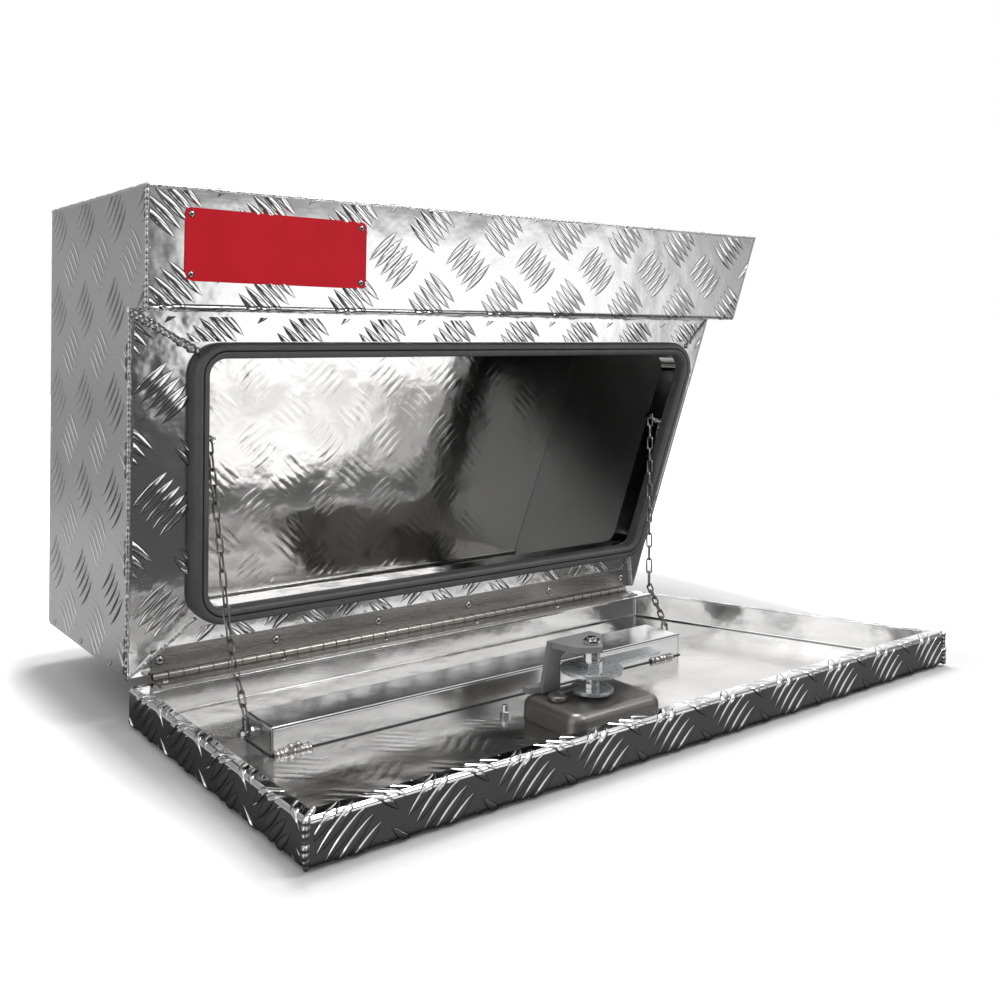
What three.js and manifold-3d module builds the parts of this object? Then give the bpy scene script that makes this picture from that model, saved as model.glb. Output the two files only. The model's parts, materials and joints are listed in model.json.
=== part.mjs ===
// Aluminium tool box for a vehicle tray: a sheet cabinet with a slanted right end and an overhanging hood,
// a drop-down door on a piano hinge, two stay chains and a latch worked by a recessed T-handle.
// Millimetres. X runs along the box from its left end, Y from the front face to the back, Z up.
import * as THREE from 'three';
import { mergeVertices } from 'three/addons/utils/BufferGeometryUtils.js';
import Module from 'manifold-3d';

const wasm = await Module();
wasm.setup();

// Cabinet
const height = 400;
const topLength = 750;
const bodyDepth = 211.7;
const hoodDepth = 38.3;
const hoodHeight = 98.3;
const endTaper = 0.4126;
const sheet = 2;
const bendRadius = 4;
const rearCornerRadius = 5;

// Door opening in the front frame
const openingLeft = 67.5;
const openingBottom = 48;
const openingTopMargin = 41.3;
const openingRightMargin = 32;
const openingRadius = 15;
const returnFlange = 20;

// Rubber seal round the opening
const sealWidth = 14;
const sealDepth = 14;
const sealRound = 4;

// Piano hinge
const hingeForward = 3.5;
const hingeDrop = 1.5;
const barrelRadius = 2.9;
const pinRadius = 1.2;
const pinPlay = 0.25;
const leafThickness = 1;
const leafStart = 21.5;
const leafEndMargin = 16.96;
const knuckleCount = 41;
const knucklePlay = 0.3;
const cabinetLeafTop = 20.5;
const doorLeafReach = 20;
const hingeRivetCount = 6;
const hingeRivetInset = 7.5;
const hingeRivetEndInset = 4;
const cabinetRivetHeight = 11;
const doorRivetSetback = 14;
const hingeRivetSizes = { radius: 3, head: 1.4, shank: 1.6, tail: 2.4, tailHeight: 1.8 };

// Door pan, shown open and level
const panRearGap = 3;
const panLength = 298;
const panSideInset = 1;
const panHeight = 30.5;
const panRimDrop = 3;
const sideFlange = 10;
const frontFlange = 12;
const rearFlange = 26;
const flangeCornerRadius = 2;
const panCornerRadius = 4.5;

// Stiffener channel across the door
const channelLeft = 62;
const channelRightMargin = 120.14;
const channelFront = 137;
const channelWidth = 45;
const channelHeight = 21;
const channelBend = 3;

// Badge plate on the hood
const badgeLength = 171;
const badgeHeight = 59.5;
const badgeThickness = 1.2;
const badgeRadius = 5;
const badgeCentreAlong = 117.8;
const badgeCentreBelowTop = 46.9;
const badgeTilt = 0.011;
const badgeRivetInset = 5.3;
const badgeRivetSizes = { radius: 2.3, head: 1.1, shank: 1.2, tail: 1.8, tailHeight: 1.5 };

// Latch in the door: pressed dish, spindle, latch plate and offset cam
const lockAlongShare = 0.475074;
const lockFromHinge = 208.5;
const dishLength = 100;
const dishWidth = 70;
const dishRise = 18;
const dishRound = 8;
const dishCornerRadius = 12;
const dishSheet = 2;
const dishFlangeLength = 130;
const dishFlangeWidth = 98;
const dishFlangeRadius = 8;
const dishStudAlong = 58;
const dishStudAcross = 42;
const studRadius = 2.5;
const studRise = 9;
const studNutRadius = 4.6;
const studNutHeight = 4;
const spindleRadius = 4;
const spindleAboveCam = 5.5;
const handleLength = 60;
const handleWidth = 11;
const handleThickness = 8;
const handleHubRadius = 10;
const handleHubHeight = 13;
const handleInset = 0.5;
const handleEndShare = 0.45;
const keyRadius = 6;
const keyDepth = 7;
const keySlotLength = 7;
const keySlotWidth = 1.4;
const keySlotDepth = 3;
const stopRadius = 18;
const stopThickness = 3;
const stopRise = 3;
const latchRise = 19.6;
const latchRadius = 26;
const latchThickness = 2.8;
const latchReach = 82;
const latchTongueWidth = 21;
const latchTongueEnd = 15;
const latchTongueShift = 5;
const latchTongueTipShift = 7;
const latchHoleCount = 13;
const latchHoleRing = 20.5;
const latchHoleRadius = 1.7;
const spacerRadius = 6.5;
const latchNutRadius = 9;
const latchNutHeight = 5;
const sleeveRadius = 7;
const camRise = 37;
const camThickness = 5;
const camNutRadius = 7.5;
const camNutHeight = 3.5;
const camReach = 29;
const camOutlineShares = [[0, -0.45], [0.9, 0.59], [0.86, 1], [-0.9, 0.93], [-0.66, -0.07]];
const camLegThickness = 4.5;
const camLegSetback = 22;
const camLegWidth = 28;
const camLegLean = 7;
const camLegClear = 1;
const camLegTopShare = 0.9;
const camFootReach = 46;
const camFootDepth = 7;
const camFootHeight = 5;
const camFootGap = 1.2;
const leverReach = 12;
const leverWidth = 7;
const leverHeight = 8;
const leverFromAxis = 30;
const leverToFront = 5;
const leverHookShare = 0.35;

// Stay chains
const wireRadius = 1;
const linkWidth = 8;
const linkPitch = 13.8;
const linkBite = 0.6;
const boltPlay = 0.9;
const tipOffset = 3.4;
const boltRadius = 1.5;
const boltHeadRadius = 3.6;
const boltHeadHeight = 2.6;
const boltNutHeight = 3;
const boltTail = 3;
const boltClear = 1.2;
const leftAnchorBelowTop = 70.4;
const leftAnchorDepth = 8;
const leftAnchorStandoff = 7.5;
const rightAnchorBelowTop = 75.4;
const rightAnchorDepth = 10;
const rightAnchorStandoff = 8.5;
const screwStandoff = 8;
const screwFromHinge = 106.5;
const screwAboveFloor = 11;
const leftUpperShare = 0.682;
const leftSag = { along: 8.6, back: 24.4, down: 14.4 };
const rightUpperShare = 0.724;
const rightSag = { along: 11.5, back: 28.8, down: 22.9 };

// Fits
const seamGap = 0.3;
const holeGap = 0.2;
const cutOverrun = 1;

// Smoothness of arcs, and how far a dome's profile bulges
const domeShare = 0.75;
const bendSteps = 4;
const cornerSteps = 5;
const roundSides = 16;
const smallSides = 8;
const wireSides = 5;
const linkArcSteps = 3;

// Places worked out from the sizes above
const hoodBottom = height - hoodHeight;
const openingTop = hoodBottom - openingTopMargin;
const leftAnchorHeight = openingTop - leftAnchorBelowTop;
const rightAnchorHeight = openingTop - rightAnchorBelowTop;
const sheetAcross = sheet * Math.hypot(1, endTaper);
const hingeY = -hingeForward;
const hingeZ = -hingeDrop;
const panRim = hingeZ - panRimDrop;
const panBottom = panRim - panHeight;
const panFloor = panBottom + sheet;
const panRear = -panRearGap;
const panFront = panRear - panLength;
const lockY = hingeY - lockFromHinge;
const dishTop = panFloor + dishRise;
const dishUnder = panBottom - dishSheet;
const channelTop = panFloor + channelHeight;
const channelRear = channelWidth - channelFront;
const channelRight = panRightEdge((channelRear - channelFront) / 2) - channelRightMargin;
const channelLength = channelRight - channelLeft;
const lockAlong = lockAlongShare * panRightEdge(lockY);
const leafLength = rightEdge(0) - leafEndMargin - leafStart;
const hingeRivetPitch = (leafLength - hingeRivetInset - hingeRivetEndInset) / (hingeRivetCount - 1);
const stopBottom = dishTop + stopRise;
const latchBottom = dishTop + latchRise;
const camBottom = dishTop + camRise;
const spindleTop = camBottom + camThickness + spindleAboveCam;
const forward = new THREE.Vector3(0, -1, 0);
const upward = new THREE.Vector3(0, 0, 1);
const hingeRivetPlaces = Array.from({ length: hingeRivetCount },
  (unused, index) => leafStart + hingeRivetInset + index * hingeRivetPitch);

function rightEdge(z) {
  return topLength - endTaper * (height - z);
}

function panRightEdge(y) {
  return rightEdge(hingeZ + hingeY - y) - panSideInset;
}

// Materials
const materials = {
  treadPlate: { color: 0xc3c6ca, roughness: 0.32, metalness: 1 },
  brightSheet: { color: 0xd2d4d6, roughness: 0.24, metalness: 1 },
  channelSheet: { color: 0xc9cbcd, roughness: 0.28, metalness: 1 },
  hingeSteel: { color: 0xa5a19b, roughness: 0.36, metalness: 1 },
  chromeSteel: { color: 0xcfd1d2, roughness: 0.16, metalness: 1 },
  zincChain: { color: 0xaeb0b1, roughness: 0.3, metalness: 1 },
  castGrey: { color: 0x8b8985, roughness: 0.5, metalness: 0.75 },
  sealRubber: { color: 0x3b3c3c, roughness: 0.75, metalness: 0 },
  badgeRed: { color: 0xb8161d, roughness: 0.35, metalness: 0.1 },
};

function makeMaterial(kind) {
  return new THREE.MeshStandardMaterial(materials[kind]);
}

// Below zero where the faces of a closed surface point inward.
function signedVolume(geometry) {
  const corner = (place) => new THREE.Vector3().fromBufferAttribute(
    geometry.attributes.position, geometry.index.getX(place));
  let total = 0;
  for (let place = 0; place < geometry.index.count; place += 3) {
    total += corner(place).dot(corner(place + 1).cross(corner(place + 2)));
  }
  return total;
}

// Turns a closed geometry into a solid whose faces point out.
function toSolid(geometry) {
  const bare = geometry.clone();
  bare.deleteAttribute('normal');
  bare.deleteAttribute('uv');
  const merged = mergeVertices(bare);
  const corners = Array.from(merged.index.array);
  if (signedVolume(merged) < 0) {
    corners.reverse();
  }
  return new wasm.Manifold(new wasm.Mesh({
    numProp: 3,
    vertProperties: new Float32Array(merged.attributes.position.array),
    triVerts: new Uint32Array(corners),
  }));
}

function addPiece(group, name, kind, solid) {
  const result = solid.getMesh();
  const geometry = new THREE.BufferGeometry();
  geometry.setAttribute('position', new THREE.BufferAttribute(new Float32Array(result.vertProperties), 3));
  geometry.setIndex(new THREE.BufferAttribute(new Uint32Array(result.triVerts), 1));
  geometry.computeVertexNormals();
  const mesh = new THREE.Mesh(geometry, makeMaterial(kind));
  mesh.name = name;
  group.add(mesh);
  return mesh;
}

function block(fromX, toX, fromY, toY, fromZ, toZ) {
  const geometry = new THREE.BoxGeometry(toX - fromX, toY - fromY, toZ - fromZ);
  geometry.translate((fromX + toX) / 2, (fromY + toY) / 2, (fromZ + toZ) / 2);
  return toSolid(geometry);
}

// A flat outline pushed along an axis: the outline is [X, Z], [Y, Z] or [X, Y] for the axis Y, X or Z.
function prismGeometry(axis, outline, from, to) {
  const shape = new THREE.Shape(outline.map(([across, up]) => new THREE.Vector2(across, up)));
  const geometry = new THREE.ExtrudeGeometry(shape, { depth: to - from, bevelEnabled: false });
  if (axis === 'y') {
    geometry.rotateX(Math.PI / 2);
    geometry.translate(0, to, 0);
  } else if (axis === 'x') {
    geometry.rotateX(Math.PI / 2);
    geometry.rotateZ(Math.PI / 2);
    geometry.translate(from, 0, 0);
  } else {
    geometry.translate(0, 0, from);
  }
  return geometry;
}

function prism(axis, outline, from, to) {
  return toSolid(prismGeometry(axis, outline, from, to));
}

function cylinder(radius, fromZ, toZ, sides, x = 0, y = 0) {
  const geometry = new THREE.CylinderGeometry(radius, radius, toZ - fromZ, sides);
  geometry.rotateX(Math.PI / 2);
  geometry.translate(x, y, (fromZ + toZ) / 2);
  return toSolid(geometry);
}

// A cylinder from one point to another, whatever way it lies.
function rod(start, end, radius, sides) {
  const way = end.clone().sub(start);
  const geometry = new THREE.CylinderGeometry(radius, radius, way.length(), sides);
  geometry.applyQuaternion(new THREE.Quaternion().setFromUnitVectors(
    new THREE.Vector3(0, 1, 0), way.clone().normalize()));
  const middle = start.clone().add(end).divideScalar(2);
  geometry.translate(middle.x, middle.y, middle.z);
  return toSolid(geometry);
}

// Rounds the corners of a convex outline that runs anticlockwise, and moves its sides out by an offset.
function roundedOutline(corners, radius, offset = 0, steps = cornerSteps) {
  const points = [];
  corners.forEach(([x, y], index) => {
    const before = corners[(index + corners.length - 1) % corners.length];
    const after = corners[(index + 1) % corners.length];
    const wayIn = new THREE.Vector2(x - before[0], y - before[1]).normalize();
    const wayOut = new THREE.Vector2(after[0] - x, after[1] - y).normalize();
    const turn = Math.acos(THREE.MathUtils.clamp(wayIn.dot(wayOut), -1, 1));
    const setback = radius * Math.tan(turn / 2);
    const centreX = x - wayIn.x * setback - wayIn.y * radius;
    const centreY = y - wayIn.y * setback + wayIn.x * radius;
    const startAngle = Math.atan2(-wayIn.x, wayIn.y);
    for (let step = 0; step <= steps; step += 1) {
      const angle = startAngle + turn * step / steps;
      points.push([
        centreX + (radius + offset) * Math.cos(angle),
        centreY + (radius + offset) * Math.sin(angle),
      ]);
    }
  });
  return points;
}

// A closed surface through rings of equally many points; the first and last rings are capped or joined.
function loft(rings, closed) {
  const count = rings[0].length;
  const positions = rings.flat(2);
  const indices = [];
  const last = closed ? rings.length : rings.length - 1;
  for (let ring = 0; ring < last; ring += 1) {
    const here = ring * count;
    const there = ((ring + 1) % rings.length) * count;
    for (let point = 0; point < count; point += 1) {
      const next = (point + 1) % count;
      indices.push(here + point, here + next, there + next);
      indices.push(here + point, there + next, there + point);
    }
  }
  if (!closed) {
    const end = (rings.length - 1) * count;
    for (let point = 1; point < count - 1; point += 1) {
      indices.push(0, point + 1, point);
      indices.push(end, end + point, end + point + 1);
    }
  }
  const geometry = new THREE.BufferGeometry();
  geometry.setAttribute('position', new THREE.Float32BufferAttribute(positions, 3));
  geometry.setIndex(indices);
  return toSolid(geometry);
}

// Levels are [inset, z] pairs from the bottom up; the outline gives the points for an inset.
function stacked(levels, outline) {
  return loft(levels.map(([inset, z]) => outline(inset).map(([x, y]) => [x, y, z])), false);
}

// Everything that runs up to the slanted end plate is trimmed a seam's width short of it.
function trimmedAtSlant(solid) {
  const far = topLength + bodyDepth;
  const innerEdge = (z) => rightEdge(z) - sheetAcross - seamGap;
  const low = -height;
  const high = 2 * height;
  const beyond = prism('y', [[innerEdge(low), low], [far, low], [far, high], [innerEdge(high), high]],
    -bodyDepth, 2 * bodyDepth);
  return solid.subtract(beyond);
}

// Front frame and its opening
const openingCorners = [
  [openingLeft, openingBottom],
  [rightEdge(openingBottom) - openingRightMargin, openingBottom],
  [rightEdge(openingTop) - openingRightMargin, openingTop],
  [openingLeft, openingTop],
];
const frameCorners = [
  [sheet, 0],
  [rightEdge(0) - sheetAcross - seamGap, 0],
  [rightEdge(hoodBottom + sheet) - sheetAcross - seamGap, hoodBottom + sheet],
  [sheet, hoodBottom + sheet],
];

function openingRing(offset, y) {
  return roundedOutline(openingCorners, openingRadius, offset).map(([x, z]) => [x, y, z]);
}

// A ring swept round the opening; its section is a list of [offset, y] pairs.
function openingSweep(section) {
  return loft(section.map(([offset, y]) => openingRing(offset, y)), true);
}

function cabinetRivetHoles() {
  return hingeRivetPlaces.map((x) => rod(
    new THREE.Vector3(x, -leafThickness - cutOverrun, cabinetRivetHeight),
    new THREE.Vector3(x, sheet + cutOverrun, cabinetRivetHeight),
    hingeRivetSizes.shank + holeGap, smallSides));
}

function doorRivetHoles() {
  return hingeRivetPlaces.map((x) => cylinder(hingeRivetSizes.shank + holeGap, panRim - sheet - cutOverrun,
    panRim + leafThickness + cutOverrun, smallSides, x, -doorRivetSetback));
}

// Each strip of the frame is cut at its mitres and keeps its share of the return flange behind the opening.
function frameStrip(side, withFlange) {
  const [outerFrom, outerTo] = [frameCorners[side], frameCorners[(side + 1) % 4]];
  const [innerFrom, innerTo] = [openingCorners[side], openingCorners[(side + 1) % 4]];
  const middle = [(openingCorners[0][0] + openingCorners[2][0]) / 2, (openingBottom + openingTop) / 2];
  const pulled = ([x, z], toward, amount) => {
    const way = new THREE.Vector2(toward[0] - x, toward[1] - z).normalize();
    return [x + way.x * amount, z + way.y * amount];
  };
  const inFrom = pulled(innerFrom, middle, openingRadius);
  const inTo = pulled(innerTo, middle, openingRadius);
  const sector = prism('y', [outerFrom, outerTo, inTo, inFrom], 0, sheet + returnFlange);
  const plate = prism('y', frameCorners, 0, sheet)
    .subtract(prism('y', roundedOutline(openingCorners, openingRadius), -cutOverrun, sheet + cutOverrun));
  const flangeRear = sheet + returnFlange;
  const flange = openingSweep([[0, sheet], [0, flangeRear], [sheet, flangeRear], [sheet, sheet]]);
  const whole = withFlange ? plate.add(flange) : plate;
  const saws = [[outerFrom, inFrom], [outerTo, inTo]].map(([[fromX, fromZ], [toX, toZ]]) => {
    const way = new THREE.Vector2(toX - fromX, toZ - fromZ).normalize();
    const aside = new THREE.Vector2(-way.y, way.x).multiplyScalar(seamGap / 2);
    const start = [fromX - way.x * cutOverrun, fromZ - way.y * cutOverrun];
    const end = [toX + way.x * cutOverrun, toZ + way.y * cutOverrun];
    return prism('y', [
      [start[0] - aside.x, start[1] - aside.y], [end[0] - aside.x, end[1] - aside.y],
      [end[0] + aside.x, end[1] + aside.y], [start[0] + aside.x, start[1] + aside.y],
    ], -cutOverrun, sheet + returnFlange + cutOverrun);
  });
  return saws.reduce((strip, saw) => strip.subtract(saw), whole.intersect(sector));
}

function endOutline() {
  const outline = [[-hoodDepth, hoodBottom], [0, hoodBottom], [0, 0]];
  const centreY = bodyDepth - rearCornerRadius;
  for (let step = 0; step <= bendSteps; step += 1) {
    const angle = -Math.PI / 2 + Math.PI / 2 * step / bendSteps;
    outline.push([centreY + rearCornerRadius * Math.cos(angle), rearCornerRadius * (1 + Math.sin(angle))]);
  }
  outline.push([bodyDepth, height], [-hoodDepth, height]);
  return outline;
}

// Leans a shape that stands at the top length back along the slanted end.
function slanted(geometry) {
  geometry.applyMatrix4(new THREE.Matrix4().set(
    1, 0, endTaper, -endTaper * height,
    0, 1, 0, 0,
    0, 0, 1, 0,
    0, 0, 0, 1));
  return toSolid(geometry);
}

// The hood's front and its underside are one sheet with a bend along the lower edge.
function hoodProfile() {
  const outer = [];
  const inner = [];
  for (let step = 0; step <= bendSteps; step += 1) {
    const angle = Math.PI + Math.PI / 2 * step / bendSteps;
    const centreY = bendRadius - hoodDepth;
    const centreZ = hoodBottom + bendRadius;
    outer.push([centreY + bendRadius * Math.cos(angle), centreZ + bendRadius * Math.sin(angle)]);
    inner.push([
      centreY + (bendRadius - sheet) * Math.cos(angle),
      centreZ + (bendRadius - sheet) * Math.sin(angle),
    ]);
  }
  return [
    [-hoodDepth, height - sheet], ...outer, [0, hoodBottom], [0, hoodBottom + sheet],
    ...inner.reverse(), [sheet - hoodDepth, height - sheet],
  ];
}

function badgePlace(along, up) {
  return {
    x: badgeCentreAlong + along * Math.cos(badgeTilt) + up * Math.sin(badgeTilt),
    z: height - badgeCentreBelowTop - along * Math.sin(badgeTilt) + up * Math.cos(badgeTilt),
  };
}

const badgeRivetPlaces = [[-1, -1], [1, -1], [1, 1], [-1, 1]].map(([sideX, sideZ]) => badgePlace(
  sideX * (badgeLength / 2 - badgeRivetInset), sideZ * (badgeHeight / 2 - badgeRivetInset)));

function badgeRivetHoles() {
  return badgeRivetPlaces.map(({ x, z }) => rod(
    new THREE.Vector3(x, -hoodDepth - badgeThickness - cutOverrun, z),
    new THREE.Vector3(x, sheet - hoodDepth + cutOverrun, z), badgeRivetSizes.shank + holeGap, smallSides));
}

// Chain anchors: bolts on the return flanges, screws on the ends of the channel. Each is a point on the
// shank, the way the shank points and the distance back to the wall that it passes through.
const slantLength = Math.hypot(1, endTaper);
const rightFlangeNormal = new THREE.Vector3(-1 / slantLength, 0, endTaper / slantLength);
const rightFlangePoint = new THREE.Vector3(
  rightEdge(rightAnchorHeight) - openingRightMargin, rightAnchorDepth, rightAnchorHeight);
const leftBolt = {
  point: new THREE.Vector3(openingLeft + leftAnchorStandoff, leftAnchorDepth, leftAnchorHeight),
  outward: new THREE.Vector3(1, 0, 0),
  standoff: leftAnchorStandoff,
};
const rightBolt = {
  point: rightFlangePoint.clone().addScaledVector(rightFlangeNormal, rightAnchorStandoff),
  outward: rightFlangeNormal,
  standoff: rightAnchorStandoff,
};
const screwDepth = hingeY - screwFromHinge;
const screwHeight = panFloor + screwAboveFloor;
const leftScrew = {
  point: new THREE.Vector3(channelLeft - screwStandoff, screwDepth, screwHeight),
  outward: new THREE.Vector3(-1, 0, 0),
  standoff: screwStandoff,
};
const rightScrew = {
  point: new THREE.Vector3(channelLeft + channelLength + screwStandoff, screwDepth, screwHeight),
  outward: new THREE.Vector3(1, 0, 0),
  standoff: screwStandoff,
};

// A bolt through a wall: a head beyond the link that hangs on its shank, and a nut against the wall.
function chainBolt({ point, outward, standoff }) {
  const at = (distance) => point.clone().addScaledVector(outward, distance);
  const headStart = wireRadius + boltClear;
  const nutStart = seamGap - standoff;
  return rod(at(-standoff - sheet - boltTail), at(headStart + boltHeadHeight / 2), boltRadius, smallSides)
    .add(rod(at(headStart), at(headStart + boltHeadHeight), boltHeadRadius, smallSides))
    .add(rod(at(nutStart), at(nutStart + boltNutHeight), boltHeadRadius, 6));
}

function boltHole({ point, outward, standoff }) {
  const at = (distance) => point.clone().addScaledVector(outward, distance);
  return rod(at(-standoff - sheet - cutOverrun), at(cutOverrun - standoff), boltRadius + holeGap, smallSides);
}

// Where the two runs of a chain meet: part of the way down a straight line, sagging toward the cabinet.
function junctionOf(bolt, screw, share, sag) {
  return bolt.point.clone().lerp(screw.point, share).add(new THREE.Vector3(sag.along, sag.back, -sag.down));
}

const leftJunction = junctionOf(leftBolt, leftScrew, leftUpperShare, leftSag);
const rightJunction = junctionOf(rightBolt, rightScrew, rightUpperShare, rightSag);

// One oval link of round wire, lying in its own XY plane with its length along X.
function chainLink(innerLength) {
  const centreRadius = linkWidth / 2 - wireRadius;
  const straight = innerLength / 2 + wireRadius - centreRadius;
  const rings = [];
  for (let side = 0; side < wireSides; side += 1) {
    const around = 2 * Math.PI * side / wireSides;
    const radius = centreRadius + wireRadius * Math.cos(around);
    const ring = [];
    for (const end of [0, 1]) {
      for (let step = 0; step <= linkArcSteps; step += 1) {
        const angle = -Math.PI / 2 + Math.PI * (end + step / linkArcSteps);
        const shift = end === 0 ? straight : -straight;
        ring.push([
          shift + radius * Math.cos(angle), radius * Math.sin(angle), wireRadius * Math.sin(around),
        ]);
      }
    }
    rings.push(ring);
  }
  return rings;
}

// A run of links from a bolt to the chain's middle. The first link lies square to the bolt, the rest turn a
// quarter each, with half a quarter more over the whole run, so that the last one is slim seen from the front.
function chainRun(bolt, tip) {
  const way = tip.clone().sub(bolt.point).normalize();
  const start = bolt.point.clone().addScaledVector(way, -(boltRadius + boltPlay));
  const length = tip.distanceTo(start);
  const count = Math.round(length / linkPitch);
  const pitch = length / count;
  const normal = bolt.outward.clone().addScaledVector(way, -bolt.outward.dot(way)).normalize();
  let run = null;
  for (let index = 0; index < count; index += 1) {
    const twist = Math.PI / 2 * index + Math.PI / 4 * index / (count - 1);
    const face = normal.clone().applyAxisAngle(way, twist);
    const aside = face.clone().cross(way);
    const centre = start.clone().addScaledVector(way, pitch * (index + 0.5));
    const basis = new THREE.Matrix4().makeBasis(way, aside, face).setPosition(centre);
    const rings = chainLink(pitch - linkBite).map((ring) => ring.map(
      (point) => new THREE.Vector3(...point).applyMatrix4(basis).toArray()));
    const link = loft(rings, true);
    run = run ? run.add(link) : link;
  }
  return run;
}

function cutAll(solid, cutters) {
  return cutters.reduce((rest, cutter) => rest.subtract(cutter), solid);
}

// The bottom sheet turns up into the back with a bend.
function bottomProfile() {
  const outer = [];
  const inner = [];
  const centreY = bodyDepth - rearCornerRadius;
  for (let step = 0; step <= bendSteps; step += 1) {
    const angle = -Math.PI / 2 + Math.PI / 2 * step / bendSteps;
    const [across, up] = [Math.cos(angle), 1 + Math.sin(angle)];
    outer.push([centreY + rearCornerRadius * across, rearCornerRadius * up]);
    inner.push([centreY + (rearCornerRadius - sheet) * across, sheet + (rearCornerRadius - sheet) * up]);
  }
  return [[sheet, 0], ...outer, ...inner.reverse(), [sheet, sheet]];
}

function addCabinet(group) {
  addPiece(group, 'left_end_plate', 'treadPlate', prism('x', endOutline(), 0, sheet));
  addPiece(group, 'right_end_plate', 'treadPlate',
    slanted(prismGeometry('x', endOutline(), topLength - sheetAcross, topLength)));
  addPiece(group, 'top_plate', 'treadPlate',
    trimmedAtSlant(block(sheet, topLength, -hoodDepth, bodyDepth, height - sheet, height)));
  addPiece(group, 'back_plate', 'brightSheet',
    trimmedAtSlant(block(sheet, topLength, bodyDepth - sheet, bodyDepth, rearCornerRadius, height - sheet)));
  addPiece(group, 'bottom_plate', 'brightSheet',
    trimmedAtSlant(prism('x', bottomProfile(), sheet, topLength)));
  const hoodSheet = trimmedAtSlant(prism('x', hoodProfile(), sheet, topLength));
  addPiece(group, 'hood_front', 'treadPlate', cutAll(hoodSheet, badgeRivetHoles()));
}

function addFrame(group) {
  addPiece(group, 'frame_bottom', 'treadPlate', cutAll(frameStrip(0, true), cabinetRivetHoles()));
  addPiece(group, 'frame_right', 'treadPlate', frameStrip(1, true).subtract(boltHole(rightBolt)));
  addPiece(group, 'frame_top', 'treadPlate', frameStrip(2, false));
  addPiece(group, 'frame_left', 'treadPlate', frameStrip(3, true).subtract(boltHole(leftBolt)));
}

function addSeal(group) {
  const section = [[0, 0], [sealWidth, 0]];
  for (const [centre, firstAngle] of [[sealWidth - sealRound, 0], [sealRound, -Math.PI / 2]]) {
    for (let step = 0; step <= bendSteps; step += 1) {
      const angle = firstAngle - Math.PI / 2 * step / bendSteps;
      section.push([
        centre + sealRound * Math.cos(angle),
        sealRound - sealDepth + sealRound * Math.sin(angle),
      ]);
    }
  }
  addPiece(group, 'door_seal', 'sealRubber', openingSweep(section));
}

// A domed rivet whose head sits on a face; the shank runs through the grip to a set tail behind it.
function rivet(seat, outward, grip, sizes) {
  const profile = [
    [0, sizes.head], [sizes.radius * domeShare, sizes.head * domeShare], [sizes.radius, 0], [sizes.shank, 0],
    [sizes.shank, -grip - seamGap], [sizes.tail, -grip - seamGap], [sizes.tail, -grip - sizes.tailHeight],
    [0, -grip - sizes.tailHeight],
  ];
  const geometry = new THREE.LatheGeometry(
    profile.map(([radius, up]) => new THREE.Vector2(radius, up)), smallSides);
  geometry.applyQuaternion(new THREE.Quaternion().setFromUnitVectors(new THREE.Vector3(0, 1, 0), outward));
  geometry.translate(seat.x, seat.y, seat.z);
  return toSolid(geometry);
}

// The knuckles of one leaf, every second one along the pin, each with the tongue that joins it to the leaf.
function knuckles(first, tongueFor) {
  const pitch = leafLength / knuckleCount;
  let row = null;
  for (let index = first; index < knuckleCount; index += 2) {
    const from = leafStart + index * pitch + knucklePlay / 2;
    const to = from + pitch - knucklePlay;
    const barrel = rod(new THREE.Vector3(from, hingeY, hingeZ), new THREE.Vector3(to, hingeY, hingeZ),
      barrelRadius, smallSides).add(tongueFor(from, to));
    row = row ? row.add(barrel) : barrel;
  }
  return row;
}

function pinBore() {
  return rod(new THREE.Vector3(leafStart - cutOverrun, hingeY, hingeZ),
    new THREE.Vector3(leafStart + leafLength + cutOverrun, hingeY, hingeZ), pinRadius + pinPlay, smallSides);
}

function addCabinetHinge(group) {
  const tongueTop = hingeZ + hingeForward;
  const leaf = block(
    leafStart, leafStart + leafLength, -leafThickness, 0, tongueTop - holeGap, cabinetLeafTop);
  const tongue = (from, to) => block(from, to, -leafThickness, 0, hingeZ, tongueTop);
  addPiece(group, 'cabinet_hinge_leaf', 'hingeSteel',
    cutAll(leaf.add(knuckles(0, tongue)), [pinBore(), ...cabinetRivetHoles()]));
  addPiece(group, 'hinge_pin', 'hingeSteel', rod(new THREE.Vector3(leafStart, hingeY, hingeZ),
    new THREE.Vector3(leafStart + leafLength, hingeY, hingeZ), pinRadius, smallSides));
  hingeRivetPlaces.forEach((x, index) => addPiece(group, `cabinet_hinge_rivet_${index + 1}`, 'chromeSteel',
    rivet(new THREE.Vector3(x, -leafThickness, cabinetRivetHeight), forward,
      leafThickness + sheet, hingeRivetSizes)));
}

function addBadge(group) {
  const corners = [[-1, -1], [1, -1], [1, 1], [-1, 1]].map(([sideX, sideZ]) => {
    const corner = badgePlace(sideX * badgeLength / 2, sideZ * badgeHeight / 2);
    return [corner.x, corner.z];
  });
  const plate = prism('y', roundedOutline(corners, badgeRadius), -hoodDepth - badgeThickness, -hoodDepth);
  addPiece(group, 'badge_plate', 'badgeRed', cutAll(plate, badgeRivetHoles()));
  badgeRivetPlaces.forEach(({ x, z }, index) => addPiece(group, `badge_rivet_${index + 1}`, 'chromeSteel',
    rivet(new THREE.Vector3(x, -hoodDepth - badgeThickness, z), forward,
      badgeThickness + sheet, badgeRivetSizes)));
}

// Door pan: floor, four walls and the flanges turned in along its rim
function panOutline(inset) {
  const corners = [
    [panSideInset, panFront], [panRightEdge(panFront), panFront],
    [panRightEdge(panRear), panRear], [panSideInset, panRear],
  ];
  return roundedOutline(corners, panCornerRadius, -inset, bendSteps / 2);
}

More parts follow.
